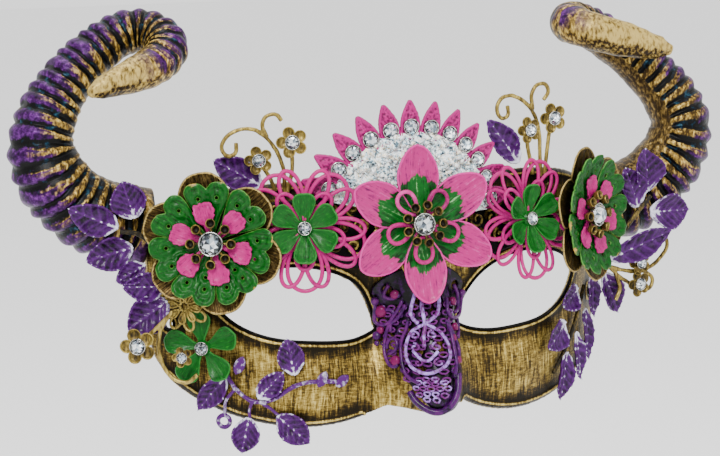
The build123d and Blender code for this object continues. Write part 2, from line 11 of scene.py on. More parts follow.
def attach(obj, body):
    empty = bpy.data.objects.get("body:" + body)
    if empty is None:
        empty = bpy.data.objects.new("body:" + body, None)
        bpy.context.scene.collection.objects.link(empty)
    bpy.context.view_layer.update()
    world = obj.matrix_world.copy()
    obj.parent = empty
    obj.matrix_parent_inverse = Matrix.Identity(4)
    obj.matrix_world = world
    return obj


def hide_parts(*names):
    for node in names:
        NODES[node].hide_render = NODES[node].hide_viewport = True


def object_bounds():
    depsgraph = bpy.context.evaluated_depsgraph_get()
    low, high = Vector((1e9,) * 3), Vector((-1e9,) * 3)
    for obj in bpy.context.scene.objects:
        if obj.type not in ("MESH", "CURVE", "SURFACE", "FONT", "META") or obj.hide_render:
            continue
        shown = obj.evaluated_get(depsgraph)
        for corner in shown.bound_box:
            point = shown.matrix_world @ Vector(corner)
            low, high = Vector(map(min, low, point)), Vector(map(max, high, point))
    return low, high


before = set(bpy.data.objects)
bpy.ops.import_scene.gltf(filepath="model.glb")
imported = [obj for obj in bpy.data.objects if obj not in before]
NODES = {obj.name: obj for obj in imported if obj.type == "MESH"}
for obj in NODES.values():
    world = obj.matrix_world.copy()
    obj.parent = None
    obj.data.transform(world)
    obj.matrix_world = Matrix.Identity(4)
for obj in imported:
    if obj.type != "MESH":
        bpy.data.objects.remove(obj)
CAD_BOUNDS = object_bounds()
MM = 0.001
HEAD = np.array([0.0, 60.0, 10.0]) * MM      # middle of the head that wears the mask
VALUES = ("edge", "along", "across", "tone", "mark")
RANDOM = np.random.default_rng(7)


# ---- reading the CAD meshes -------------------------------------------------------------------
def triangles(mesh):
    """A mesh's points and its triangles' corners."""
    points = np.empty(len(mesh.vertices) * 3)
    mesh.vertices.foreach_get("co", points)
    mesh.calc_loop_triangles()
    corners = np.empty(len(mesh.loop_triangles) * 3, int)
    mesh.loop_triangles.foreach_get("vertices", corners)
    return points.reshape(-1, 3), corners.reshape(-1, 3)


def welded(points, corners):
    """The same triangles with shared points, so that neighbours are joined."""
    keys = np.round(points / (0.002 * MM)).astype(np.int64)
    _, first, inverse = np.unique(keys, axis=0, return_index=True, return_inverse=True)
    corners = inverse.reshape(-1)[corners]
    a, b, c = corners.T
    whole = (a != b) & (b != c) & (a != c)
    return points[first], corners[whole]


def cad(node):
    return welded(*triangles(NODES[node].data))


def islands(node):
    """The separate solids of a CAD node, each as (points, triangles)."""
    points, corners = cad(node)
    owner = list(range(len(points)))

    def root(i):
        while owner[i] != i:
            owner[i] = owner[owner[i]]
            i = owner[i]
        return i

    for a, b, c in corners.tolist():
        owner[root(b)] = root(a)
        owner[root(c)] = root(a)
    label = np.array([root(i) for i in range(len(points))])
    found = []
    for value in sorted(set(label[corners[:, 0]].tolist())):
        mine = corners[label[corners[:, 0]] == value]
        used, inverse = np.unique(mine, return_inverse=True)
        found.append((points[used], inverse.reshape(-1, 3)))
    return found


def facets(points, corners):
    """Area and area-weighted normal of each triangle, and its middle."""
    a, b, c = (points[corners[:, k]] for k in range(3))
    cross = np.cross(b - a, c - a) / 2
    return np.linalg.norm(cross, axis=1), cross, (a + b + c) / 3


def unit(vector):
    return vector / np.linalg.norm(vector)


def units(rows):
    """Each row at length 1."""
    return rows / np.maximum(np.linalg.norm(rows, axis=1), 1e-12)[:, None]


def along_path(path):
    """Distance of each point of a path from its start."""
    return np.concatenate([[0], np.cumsum(np.linalg.norm(np.diff(path, axis=0), axis=1))])


def around(count):
    """Equal angles round a full turn."""
    return np.arange(count) * 2 * pi / count


def hill(distance, width):
    """1 at no distance, falling to nothing a few widths away."""
    return np.exp(-(distance / width) ** 2)


def normals_of(points, faces):
    """Unit normal at each point of a skin."""
    corners = np.array([face[:3] for face in faces])
    _, cross, _ = facets(points, corners)
    total = np.zeros_like(points)
    for k in range(3):
        np.add.at(total, corners[:, k], cross)
    return units(total)


class Seat:
    """Where a flat finding sits: origin, and right, up and out directions as rows."""

    def __init__(self, origin, out, up=(0, 0, 1)):
        self.origin = np.array(origin, float)
        out = unit(np.array(out, float))
        right = unit(np.cross(np.array(up, float), out))
        self.axes = np.array([right, np.cross(out, right), out])

    def world(self, local):
        return self.origin + np.asarray(local, float) @ self.axes

    def local(self, points):
        return (np.asarray(points, float) - self.origin) @ self.axes.T

    def moved(self, u, v, lift=0.0):
        twin = Seat(self.world((u, v, lift)), self.axes[2])
        twin.axes = self.axes
        return twin


def flatness(points, corners):
    """(share of the area that faces along one axis, that axis)."""
    area, cross, _ = facets(points, corners)
    keep = area > 1e-14
    spread = (cross[keep] / area[keep, None]).T @ cross[keep]
    shares, axes = np.linalg.eigh(spread)
    return shares[2] / shares.sum(), axes[:, 2]


def seat_of(points, corners):
    """Seat of a stamped or turned finding, with its origin on the axis at its back."""
    area, _, middle = facets(points, corners)
    centre = (middle * area[:, None]).sum(0) / area.sum()
    _, out = flatness(points, corners)
    if out @ (centre - HEAD) < 0:
        out = -out
    depth = (points - centre) @ out
    return Seat(centre + out * depth.min(), out)


def spin_of(seat, points, count):
    """Angle of the first arm of a finding with count equal arms."""
    local = seat.local(points)
    reach = np.hypot(local[:, 0], local[:, 1])
    angle = np.arctan2(local[:, 1], local[:, 0])
    return np.angle(np.sum((reach / reach.max()) ** 10 * np.exp(1j * count * angle))) / count


def reach_of(seat, points):
    """Distance of a finding's farthest point from its axis."""
    local = seat.local(points)
    return np.hypot(local[:, 0], local[:, 1]).max()


def bowl_of(seat, points, thickness):
    """How fast a dished finding rises with the square of the radius."""
    local = seat.local(points)
    reach = np.hypot(local[:, 0], local[:, 1])
    far = reach > 0.85 * reach.max()
    return max((local[far, 2].mean() - thickness / 2) / (reach[far] ** 2).mean(), 0.0)


def node_seat(node):
    """Seat, points and reach of a finding that is a whole CAD node."""
    points, corners = cad(node)
    seat = seat_of(points, corners)
    return seat, points, reach_of(seat, points)


def feeler(node):
    """A CAD node's points, and a tree of its faces to cast rays at."""
    points, corners = cad(node)
    return points, BVHTree.FromPolygons([Vector(p) for p in points], corners.tolist())


def placed(name, data):
    """A new object in the scene that holds the data."""
    made = bpy.data.objects.new(name, data)
    bpy.context.scene.collection.objects.link(made)
    return made


def recast(points, corners, voxel, rounds):
    """The solid again as an even, softened skin, as a casting or a dipped part has."""
    mesh = bpy.data.meshes.new("recast")
    mesh.from_pydata(points.tolist(), [], corners.tolist())
    rough = placed("recast", mesh)
    remesh = rough.modifiers.new("remesh", "REMESH")
    remesh.mode = "VOXEL"
    remesh.voxel_size = voxel
    soften = rough.modifiers.new("soften", "SMOOTH")
    soften.factor = 0.5
    soften.iterations = rounds
    bpy.context.view_layer.update()
    evaluated = rough.evaluated_get(bpy.context.evaluated_depsgraph_get())
    result = bpy.data.meshes.new_from_object(evaluated)
    skin = np.empty(len(result.vertices) * 3)
    result.vertices.foreach_get("co", skin)
    faces = [tuple(face.vertices) for face in result.polygons]
    bpy.data.objects.remove(rough)
    bpy.data.meshes.remove(mesh)
    bpy.data.meshes.remove(result)
    return skin.reshape(-1, 3), faces


# ---- building pieces ---------------------------------------------------------------------------
class Piece:
    """One visible piece: points, faces and the values its material reads at each point."""

    def __init__(self):
        self.points = []
        self.faces = []
        self.values = {name: [] for name in VALUES}
        self.count = 0

    def add(self, points, faces, **values):
        points = np.asarray(points, float)
        self.points.append(points)
        start = self.count
        self.faces.extend([tuple(start + int(i) for i in face) for face in faces])
        for name in VALUES:
            value = np.broadcast_to(np.asarray(values.get(name, 0.0), float), (len(points),))
            self.values[name].append(value)
        self.count += len(points)

    def build(self, name, paint, *nodes, slot=None, thickness=0.0, smooth=True):
        """Makes the object, in the paint of that name and in place of the CAD nodes given."""
        material, usual_slot = PAINTS[paint]
        slot = slot or usual_slot
        mesh = bpy.data.meshes.new(name)
        mesh.from_pydata(np.concatenate(self.points).tolist(), [], self.faces)
        for value in VALUES:
            layer = mesh.attributes.new(value, "FLOAT", "POINT")
            layer.data.foreach_set("value", np.concatenate(self.values[value]).astype(np.float32))
        mesh.polygons.foreach_set("use_smooth", [smooth] * len(mesh.polygons))
        mesh.materials.append(material)
        shape = placed(name, mesh)
        if thickness:
            sheet = shape.modifiers.new("sheet", "SOLIDIFY")
            sheet.thickness = thickness
            sheet.offset = -1.0
        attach(shape, "root")
        if nodes:
            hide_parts(*nodes)


def resample(path, spacing, closed):
    """Points at even spacing along a polyline."""
    path = np.asarray(path, float)
    if closed:
        path = np.vstack([path, path[:1]])
    length = along_path(path)
    count = max(int(round(length[-1] / spacing)), 4)
    places = np.linspace(0, length[-1], count + 1)
    even = np.stack([np.interp(places, length, path[:, k]) for k in range(path.shape[1])], 1)
    return even[:-1] if closed else even


def rounded(path, closed=False, steps=8):
    """Smooth curve through the given points."""
    path = np.asarray(path, float)
    count = len(path)
    out = []
    spans = count if closed else count - 1
    for i in range(spans):
        if closed:
            before, start, end, after = (path[(i + k) % count] for k in (-1, 0, 1, 2))
        else:
            before, start = path[max(i - 1, 0)], path[i]
            end, after = path[i + 1], path[min(i + 2, count - 1)]
        for t in np.arange(steps) / steps:
            out.append(0.5 * (2 * start + (end - before) * t
                              + (2 * before - 5 * start + 4 * end - after) * t ** 2
                              + (3 * start - before - 3 * end + after) * t ** 3))
    if not closed:
        out.append(path[-1])
    return np.array(out)


def inside(points, rim):
    """Which points lie inside a closed rim."""
    x, y = points[:, 0:1], points[:, 1:2]
    ax, ay = rim[:, 0], rim[:, 1]
    bx, by = np.roll(ax, -1), np.roll(ay, -1)
    straddles = (ay > y) != (by > y)
    with np.errstate(divide="ignore", invalid="ignore"):
        crossing = ax + (y - ay) * (bx - ax) / (by - ay)
    return (np.sum(straddles & (x < crossing), axis=1) % 2) == 1


def cut_sheet(outline, holes=(), spacing=0.6 * MM):
    """Fills an outline less its holes: (u, v) points, triangles, distance of each point to a rim."""
    rims = [resample(outline, spacing * 0.8, True)]
    rims += [resample(hole, spacing * 0.6, True) for hole in holes]
    edge_points = np.concatenate(rims)
    low, high = rims[0].min(0), rims[0].max(0)
    rows = np.arange(low[1], high[1], spacing * 0.87)
    grid = []
    for k, v in enumerate(rows):
        columns = np.arange(low[0] + (k % 2) * spacing / 2, high[0], spacing)
        grid.append(np.stack([columns, np.full(len(columns), v)], 1))
    grid = np.concatenate(grid)
    grid = grid[inside(grid, rims[0])]
    for rim in rims[1:]:
        grid = grid[~inside(grid, rim)]
    gap = np.sqrt(((grid[:, None, :] - edge_points[None]) ** 2).sum(2)).min(1)
    grid = grid[gap > spacing * 0.55]
    points = np.concatenate([edge_points, grid])
    edges = []
    start = 0
    for rim in rims:
        count = len(rim)
        edges += [(start + i, start + (i + 1) % count) for i in range(count)]
        start += count
    result = delaunay_2d_cdt([Vector(p) for p in points.tolist()], edges, [], 1, 1e-9)
    points = np.array([tuple(p) for p in result[0]])
    corners = np.array([tuple(face) for face in result[2]])
    middle = points[corners].mean(1)
    keep = inside(middle, rims[0])
    for rim in rims[1:]:
        keep &= ~inside(middle, rim)
    corners = corners[keep]
    gap = np.sqrt(((points[:, None, :] - edge_points[None]) ** 2).sum(2)).min(1)
    a, b, c = (points[corners[:, k]] for k in range(3))
    turn = (b - a)[:, 0] * (c - a)[:, 1] - (b - a)[:, 1] * (c - a)[:, 0]
    corners[turn < 0] = corners[turn < 0][:, ::-1]
    return points, corners, gap


def both_sides(half):
    """Closed outline from its right half, which runs from foot to tip."""
    other = half[::-1].copy()
    other[:, 0] *= -1
    return np.concatenate([half, other[1:-1]])


def mirrored(profile):
    """Closed outline from (v, half width) points in mm, from the foot to the tip."""
    return both_sides(rounded([(w, v) for v, w in profile]) * MM)


def ellipse(x, y, across, up, steps):
    angle = around(steps)
    return np.stack([x + across * np.cos(angle), y + up * np.sin(angle)], 1)


def circle(x, y, radius, steps):
    return ellipse(x, y, radius, radius, steps)


def step(low, high, value):
    """0 at low, 1 at high, with a soft start and end."""
    share = np.clip((np.asarray(value, float) - low) / (high - low), 0, 1)
    return share * share * (3 - 2 * share)


def wobble(points, scale, amount, seed=0.0):
    """Small even irregularity, the same on every run."""
    spots = np.c_[points, np.zeros(len(points))] if points.shape[1] == 2 else points
    shift = Vector((seed, seed * 1.7, 0))
    return np.array([noise.noise(Vector(p) * scale + shift) for p in spots]) * amount


def turned(uv, angle):
    """Flat points turned about the origin, as their u and v."""
    return uv[:, 0] * cos(angle) - uv[:, 1] * sin(angle), uv[:, 0] * sin(angle) + uv[:, 1] * cos(angle)


def add_arms(piece, seat, sheet, angles, relief, bowl, stagger=0.0, seed=1.0):
    """A sheet drawn along +v, set at each angle round a seat. Every second arm lies a little higher."""
    uv, corners, edge = sheet
    reach = np.hypot(uv[:, 0], uv[:, 1]).max()
    for k, angle in enumerate(angles):
        height = relief(uv[:, 0], uv[:, 1], edge) + bowl * (uv ** 2).sum(1) + stagger * (k % 2)
        height = height + wobble(uv, 260, 0.16 * MM, seed + k)
        points = seat.world(np.stack([*turned(uv, angle - pi / 2), height], 1))
        piece.add(points, corners, edge=edge / MM, along=uv[:, 1] / reach, across=uv[:, 0] / reach,
                  tone=RANDOM.random())


def ring_faces(rings, sides, closed=False):
    """Quads between rings that each have the same number of points."""
    faces = []
    for i in range(rings if closed else rings - 1):
        j = (i + 1) % rings
        for k in range(sides):
            m = (k + 1) % sides
            faces.append((i * sides + k, i * sides + m, j * sides + m, j * sides + k))
    return faces


def turned_over(faces):
    """The same faces with their corners in the opposite order."""
    return [face[:1] + face[:0:-1] for face in faces]


def tube(piece, path, radius, sides=8, closed=False, up=None, flat=1.0, **values):
    """A round or flattened wire along a path, with its thinner way along up."""
    path = np.asarray(path, float)
    count = len(path)
    tangent = units(np.roll(path, -1, 0) - np.roll(path, 1, 0) if closed else np.gradient(path, axis=0))
    if up is None:
        side = np.empty_like(path)
        side[0] = unit(np.cross(tangent[0], np.eye(3)[np.argmin(np.abs(tangent[0]))]))
        for i in range(1, count):
            side[i] = unit(side[i - 1] - tangent[i] * (side[i - 1] @ tangent[i]))
    else:
        side = units(np.cross(tangent, np.broadcast_to(np.asarray(up, float), path.shape)))
    top = np.cross(side, tangent) * flat
    angle = around(sides)[None, :, None]
    rings = path[:, None] + (side[:, None] * np.cos(angle) + top[:, None] * np.sin(angle)) * radius
    faces = ring_faces(count, sides, closed)
    if not closed:
        faces.append(tuple(range(sides))[::-1])
        faces.append(tuple((count - 1) * sides + k for k in range(sides)))
    piece.add(rings.reshape(-1, 3), faces, **values)


def lathe(piece, seat, profile, sides=20, ring_shade=None, **values):
    """Turns (radius, height) points round a seat's axis. Points on the axis close the ends."""
    points = [(r * cos(a), r * sin(a), z) for r, z in profile for a in around(sides)]
    # The marks given per ring are painted shade: inside the cups and under the spray petals.
    if ring_shade:
        values["mark"] = np.repeat(ring_shade, sides)
    piece.add(seat.world(points), ring_faces(len(profile), sides), **values)


# ---- materials ---------------------------------------------------------------------------------
class Value:
    """A shader output that adds, subtracts and multiplies as a number does."""

    def __init__(self, paint, socket):
        self.paint = paint
        self.socket = socket

    def __add__(self, other):
        return self.paint.math("ADD", self, other)

    def __sub__(self, other):
        return self.paint.math("SUBTRACT", self, other)

    def __mul__(self, other):
        return self.paint.math("MULTIPLY", self, other)

    def __abs__(self):
        return self.paint.math("ABSOLUTE", self)

    def shifted(self, amount):
        """Less a half, scaled: for adding a noise to a value without changing its mean."""
        return (self - 0.5) * amount

    def between(self, low, high):
        """0 at low, 1 at high."""
        inputs = {"From Min": low, "From Max": high, "Value": self}
        return self.paint.node("ShaderNodeMapRange", "Result", inputs)


class Paint:
    """A node material, built socket by socket."""

    def __init__(self, name, roughness=0.4, metallic=0.0):
        self.material = bpy.data.materials.new(name)
        self.material.use_nodes = True
        self.tree = self.material.node_tree
        self.shader = self.tree.nodes["Principled BSDF"]
        self.shader.inputs["Roughness"].default_value = roughness
        self.shader.inputs["Metallic"].default_value = metallic
        self.place = self.node("ShaderNodeTexCoord", "Object", {})

    def link(self, source, socket):
        if isinstance(source, Value):
            self.tree.links.new(source.socket, socket)
        else:
            socket.default_value = source

    def node(self, kind, output, inputs, **settings):
        """Adds a node with its inputs set or linked, and returns one of its outputs."""
        made = self.tree.nodes.new(kind)
        for key, value in settings.items():
            setattr(made, key, value)
        for name, source in inputs.items():
            self.link(source, made.inputs[name])
        return Value(self, made.outputs[output])

    def value(self, name):
        return self.node("ShaderNodeAttribute", "Fac", {}, attribute_name=name)

    def math(self, operation, a, b=0.5):
        return self.node("ShaderNodeMath", 0, {0: a, 1: b}, operation=operation)

    def noise(self, scale, detail=4.0, rough=0.6, stretch=None, turn=(0, 0, 0), where=None, warp=0.0):
        spot = where or self.place
        if stretch:
            spot = self.node("ShaderNodeMapping", 0, {"Scale": stretch, "Rotation": turn, "Vector": spot})
        inputs = {"Scale": scale, "Detail": detail, "Roughness": rough, "Distortion": warp, "Vector": spot}
        return self.node("ShaderNodeTexNoise", "Fac", inputs)

    def brushed(self, along, across, scale, detail, rough):
        """Noise drawn out along each petal, and different on every petal."""
        x, y, z = self.value("along") * along, self.value("across") * across, self.value("tone") * 40.0
        spot = self.node("ShaderNodeCombineXYZ", 0, {0: x, 1: y, 2: z})
        return self.noise(scale, detail, rough, where=spot)

    def ramp(self, source, *stops):
        """Stops are (place, (r, g, b))."""
        made = self.tree.nodes.new("ShaderNodeValToRGB")
        elements = made.color_ramp.elements
        while len(elements) < len(stops):
            elements.new(0.5)
        for element, (place, colour) in zip(elements, stops):
            element.position = place
            element.color = (*colour, 1.0)
        self.link(source, made.inputs["Fac"])
        return Value(self, made.outputs["Color"])

    def mix(self, share, a, b):
        a, b = (source if isinstance(source, Value) else (*source, 1.0) for source in (a, b))
        return self.node("ShaderNodeMix", "Result", {"Factor": share, "A": a, "B": b}, data_type="RGBA")

    def bump(self, height, distance, strength):
        inputs = {"Distance": distance, "Strength": strength, "Height": height}
        self.link(self.node("ShaderNodeBump", "Normal", inputs), self.shader.inputs["Normal"])

    def finish(self, colour, roughness=None, **others):
        self.link(colour, self.shader.inputs["Base Color"])
        if roughness is not None:
            self.link(roughness, self.shader.inputs["Roughness"])
        for name, source in others.items():
            self.shader.inputs[name].default_value = source
        return self.material


GOLD_DARK = (0.007, 0.005, 0.002)
GOLD_MID = (0.118, 0.078, 0.013)
GOLD_LIGHT = (0.42, 0.315, 0.072)
BLACK = (0.002, 0.002, 0.002)
VIOLET = (0.020, 0.002, 0.034)
VIOLET_LIGHT = (0.048, 0.006, 0.082)
PINK = (0.30, 0.006, 0.108)
GREEN = (0.001, 0.050, 0.003)
DULL = {"Specular IOR Level": 0.1}
LINE_IN = 1.4            # mm from the shell's rims to its raised gold line


def coat(weight, roughness):
    return {"Coat Weight": weight, "Coat Roughness": roughness}


def cast_gold():
    """Gold plating with bright worn rims; the mark darkens it: painted shade in the cups and under the spray
    petals, and darker stems.
    """
    paint = Paint("cast_gold", metallic=0.7)
    streak = paint.noise(900, 6, 0.7, stretch=(1, 1, 0.25))
    mixed = streak * 0.65 + paint.noise(108, 3, 0.6) * 0.35
    # The mark darkens the gold: painted shade inside the cups and under the spray petals, and a darker tone
    # on the stems.
    mixed = mixed + paint.value("edge").between(1.1, 0.1) * 0.10 - paint.value("mark") * 0.5
    colour = paint.ramp(mixed, (0.40, GOLD_DARK), (0.52, GOLD_MID), (0.70, GOLD_LIGHT))
    paint.bump(streak, 0.10 * MM, 0.7)
    return paint.finish(colour, mixed.between(1.5, 0.3) * 0.6)


def back_metal():
    """Antiqued metal petals: dark radial streaks with gold between them and a thin worn rim."""
    paint = Paint("back_metal", metallic=0.6)
    mixed = paint.brushed(4.0, 34.0, 1.6, 6, 0.7) * 0.75 + paint.noise(900, 4, 0.65) * 0.25
    # Darker towards the petals' foot, where they pass under the flowers on top: painted shade.
    mixed = mixed - paint.value("along").between(0.75, 0.35) * 0.2
    mixed = mixed + paint.value("edge").between(0.55, 0.1) * 0.18
    colour = paint.ramp(mixed, (0.42, (0.006, 0.004, 0.002)), (0.55, (0.07, 0.042, 0.011)),
                        (0.70, (0.30, 0.215, 0.070)))
    paint.bump(mixed, 0.25 * MM, 0.8)
    return paint.finish(colour, 0.42, **DULL)


def shell_gold():
    """Brushed gold over a black primer, darker near the rims, with a gold line along them."""
    paint = Paint("shell_gold", metallic=0.55)
    down = paint.noise(230, 9, 0.78, stretch=(6.0, 1.0, 0.5), turn=(0, radians(12), 0), warp=0.4)
    across = paint.noise(400, 9, 0.78, stretch=(0.8, 1.0, 4.5), turn=(0, radians(-24), 0))
    scratch = down * 0.60 + across * 0.35
    edge = paint.value("edge")
    line = edge.between(LINE_IN - 0.6, LINE_IN - 0.2) * edge.between(LINE_IN + 0.7, LINE_IN + 0.2)
    mixed = scratch + paint.noise(46, 3, 0.55) * 0.22 - edge.between(6.5, 1.2) * 0.16 + line * 0.22
    colour = paint.ramp(mixed, (0.50, GOLD_DARK), (0.56, (0.05, 0.030, 0.006)), (0.61, (0.19, 0.125, 0.024)),
                        (0.69, (0.47, 0.36, 0.105)))
    paint.bump(scratch, 0.16 * MM, 0.7)
    return paint.finish(colour, 0.42, **DULL)


def horn_paint():
    """Black valleys with teal glints, violet outer ridges, gold inside the bend and on the tip, and painted
    shade under the tip.
    """
    paint = Paint("horn_paint", metallic=0.25)
    rib, outer, bare, band = (paint.value(name) for name in ("mark", "across", "along", "tone"))
    rough, patch = paint.noise(420, 5, 0.7), paint.noise(75, 3, 0.6)
    worn = rib + rough.shifted(0.8)
    side = outer + patch.shifted(1.7)
    fleck = paint.noise(900, 4, 0.6, stretch=(1, 1, 0.4)) + patch.shifted(0.3)
    gold = paint.ramp(fleck, (0.42, (0.03, 0.016, 0.003)), (0.53, (0.19, 0.115, 0.022)),
                      (0.67, (0.52, 0.37, 0.10)))
    violet = paint.ramp(rough, (0.38, (0.006, 0.001, 0.010)), (0.52, (0.030, 0.003, 0.050)),
                        (0.68, (0.12, 0.026, 0.18)))
    colour = paint.mix(side.between(0.0, 0.2), gold, violet)
    colour = paint.mix(worn.between(0.86, 0.98) * side.between(0.75, 0.35), colour, gold)
    glint = paint.ramp(paint.noise(330, 2), (0.56, BLACK), (0.66, (0.002, 0.014, 0.026)),
                       (0.76, (0.02, 0.07, 0.10)))
    thin = worn - side.between(0.25, -0.1) * 0.19
    colour = paint.mix(thin.between(0.56, 0.38), colour, glint)
    dim = paint.ramp(fleck, (0.46, (0.018, 0.010, 0.003)), (0.62, (0.13, 0.08, 0.02)),
                     (0.76, (0.40, 0.29, 0.10)))
    colour = paint.mix((band + rough.shifted(0.5)).between(0.45, 0.75), colour, dim)
    # Painted shade: the tip's paint darkens where its skin faces down.
    tip_shade_below = paint.value("edge").between(0.10, 0.40) * 0.16
    tip = paint.ramp(fleck - tip_shade_below, (0.30, (0.012, 0.006, 0.002)), (0.39, (0.14, 0.09, 0.02)),
                     (0.55, (0.36, 0.26, 0.075)))
    paint.bump(rough, 0.22 * MM, 0.8)
    return paint.finish(paint.mix(bare, colour, tip), 0.36, **DULL)


def enamel(name, base, shadow, light, rim=None, rim_width=0.5, heart=None, tips=None):
    """Thick hand-brushed paint: streaks along each petal, a worn rim, and a second colour near the foot."""
    paint = Paint(name, roughness=0.34)
    along, side = paint.value("along"), abs(paint.value("across"))
    mixed = paint.brushed(3.0, 26.0, 1.4, 5, 0.65) * 0.7 + paint.noise(700, 3, 0.6) * 0.3
    colour = paint.ramp(mixed, (0.36, shadow), (0.47, base), (0.56, base), (0.70, light))
    if heart:
        reach = along + paint.brushed(1.5, 11.0, 2.0, 3, 0.55).shifted(0.26) + side * 0.55
        # The heart is lighter down its middle and darker to its sides: a painted highlight and painted
        # shade.
        heart_streaks_and_highlight = mixed - side * 0.9
        inner = paint.ramp(heart_streaks_and_highlight, (0.30, heart[1]), (0.42, heart[0]), (0.52, heart[0]), (0.62, heart[2]))
        colour = paint.mix(reach.between(0.64, 0.62), colour, inner)
    if rim:
        worn = paint.value("edge") + paint.noise(500, 3) * 0.8
        colour = paint.mix(worn.between(rim_width + 0.55, rim_width + 0.35), colour, rim)
    if tips:
        spent = along + paint.noise(230, 3).shifted(0.45)
        colour = paint.mix(spent.between(0.98, 1.02), colour, tips)
    colour = paint.mix(paint.value("mark") * 0.9, colour, BLACK)
    paint.bump(mixed, 0.3 * MM, 0.8)
    return paint.finish(colour, **DULL, **coat(0.05, 0.15))


def violet_paint(name, base, light, silver, accent=None):
    """Near black in the gaps as painted shade, violet above them, and silver dry-brushed over whatever
    stands up.
    """
    paint = Paint(name, roughness=0.32)
    grain = paint.noise(520, 4, 0.65)
    high = paint.value("mark") + grain.shifted(0.9) + paint.value("tone")
    high = high + paint.noise(170, 2, 0.5).shifted(0.4)
    colour = paint.ramp(high, (0.06, BLACK), (0.22, base), (0.50, light), (0.62, light), (0.84, silver))
    if accent:
        colour = paint.mix(paint.value("across"), colour, accent)
    paint.bump(grain, 0.2 * MM, 0.7)
    return paint.finish(colour, **DULL, **coat(0.08, 0.15))


def fan_white():
    """White and pale blue glitter with cream flecks, and dark pits near the foot."""
    paint = Paint("fan_white", roughness=0.3)
    fleck = paint.noise(1300, 2, 0.5)
    tone = fleck + paint.value("tone").shifted(0.35)
    colour = paint.ramp(tone, (0.27, (0.01, 0.03, 0.05)), (0.36, (0.30, 0.52, 0.62)),
                        (0.44, (0.74, 0.84, 0.86)), (0.60, (0.90, 0.90, 0.88)), (0.74, (0.80, 0.68, 0.45)))
    colour = paint.mix(paint.value("mark"), colour, BLACK)
    paint.bump(fleck, 0.3 * MM, 0.9)
    return paint.finish(colour, **coat(0.3, 0.1))


def clear_stone():
    """Foil-backed glass: each facet gets its own brightness from dark to white, a painted reflection of the
    light it would return.
    """
    paint = Paint("clear_stone", roughness=0.05, metallic=0.8)
    colour = paint.ramp(paint.value("tone"), (0.0, (0.01, 0.014, 0.02)), (0.35, (0.16, 0.21, 0.26)),
                        (0.6, (0.50, 0.58, 0.62)), (1.0, (0.95, 0.95, 0.95)))
    return paint.finish(colour, **coat(0.8, 0.03))


def silver():
    paint = Paint("silver_bezel", roughness=0.25, metallic=0.9)
    grain = paint.noise(900, 3, 0.6)
    colour = paint.ramp(grain, (0.35, (0.06, 0.055, 0.05)), (0.50, (0.32, 0.31, 0.29)),
                        (0.65, (0.66, 0.65, 0.60)))
    paint.bump(grain, 0.08 * MM, 0.5)
    return paint.finish(colour)


def lace_black():
    """Black wash with gold on whatever stands up."""
    paint = Paint("lace_black_gold", roughness=0.45, metallic=0.4)
    grain = paint.noise(800, 4, 0.7)
    high = paint.value("mark") + grain.shifted(1.0)
    colour = paint.ramp(high, (0.30, BLACK), (0.58, (0.05, 0.03, 0.008)), (0.90, GOLD_LIGHT))
    paint.bump(grain, 0.2 * MM, 0.6)
    return paint.finish(colour, **DULL)


# Green heart colours (base, dark, light): the light one is the painted highlight down its middle, and the
# dark one also takes its painted shade at the sides.
HEART_GREEN = ((0.001, 0.065, 0.005), (0.0005, 0.012, 0.001), (0.16, 0.36, 0.14))
PAINTS = {  # each material with the record's slot for it
    "shell": (shell_gold(), "shell_gold"),
    "horn": (horn_paint(), "horn_paint"),
    "back": (back_metal(), "antique_gold"),
    "silver": (silver(), "clear_stone"),
    "fan_pink": (enamel("fan_pink", (0.30, 0.008, 0.12), (0.06, 0.003, 0.04), (0.46, 0.05, 0.25),
                        (0.26, 0.01, 0.11), 0.1), "pink_enamel"),
    "cast_gold": (cast_gold(), "antique_gold"),
    "green": (enamel("green_enamel", GREEN, (0.0005, 0.008, 0.0005), (0.012, 0.16, 0.012),
                     (0.06, 0.18, 0.03), 0.14, tips=(0.34, 0.21, 0.045)), "green_enamel"),
    "leaf_green": (enamel("soft_green", (0.0015, 0.060, 0.004), (0.0005, 0.012, 0.001), (0.022, 0.20, 0.02),
                          (0.012, 0.12, 0.014), 0.10), "green_enamel"),
    "pink": (enamel("pink_enamel", PINK, (0.10, 0.003, 0.045), (0.50, 0.045, 0.24)), "pink_enamel"),
    "petal": (enamel("centre_petal", (0.29, 0.010, 0.110), (0.08, 0.004, 0.045), (0.44, 0.060, 0.23),
                     (0.42, 0.020, 0.18), 0.35, HEART_GREEN), "pink_enamel"),
    "violet": (violet_paint("violet_leaf", VIOLET, VIOLET_LIGHT, (0.50, 0.48, 0.58)), "violet_leaf"),
    "nose": (violet_paint("nose_violet", (0.030, 0.002, 0.050), (0.085, 0.008, 0.090), (0.32, 0.20, 0.56),
                          (0.11, 0.003, 0.045)), "nose_violet"),
    "white": (fan_white(), "fan_white"),
    "stone": (clear_stone(), "clear_stone"),
    "black": (lace_black(), "lace_black_gold"),
}


# ---- stones --------------------------------------------------------------------------------------
STONE_SIDES = 8
STONE_RINGS = [(0.52, 0.92, 0.0), (0.80, 0.66, 0.5), (0.97, 0.34, 0.0)]   # (radius, height, turn in sides)
CAST_CUP_R = 1.16        # the CAD cup's radius, of its stone's
BEZEL = [(0, 0), (0.92, 0), (1, 0.2), (1.01, 0.40), (0.97, 0.49), (0.91, 0.47), (0.87, 0.34)]
BEZEL_R = 1.13           # of the stone's radius


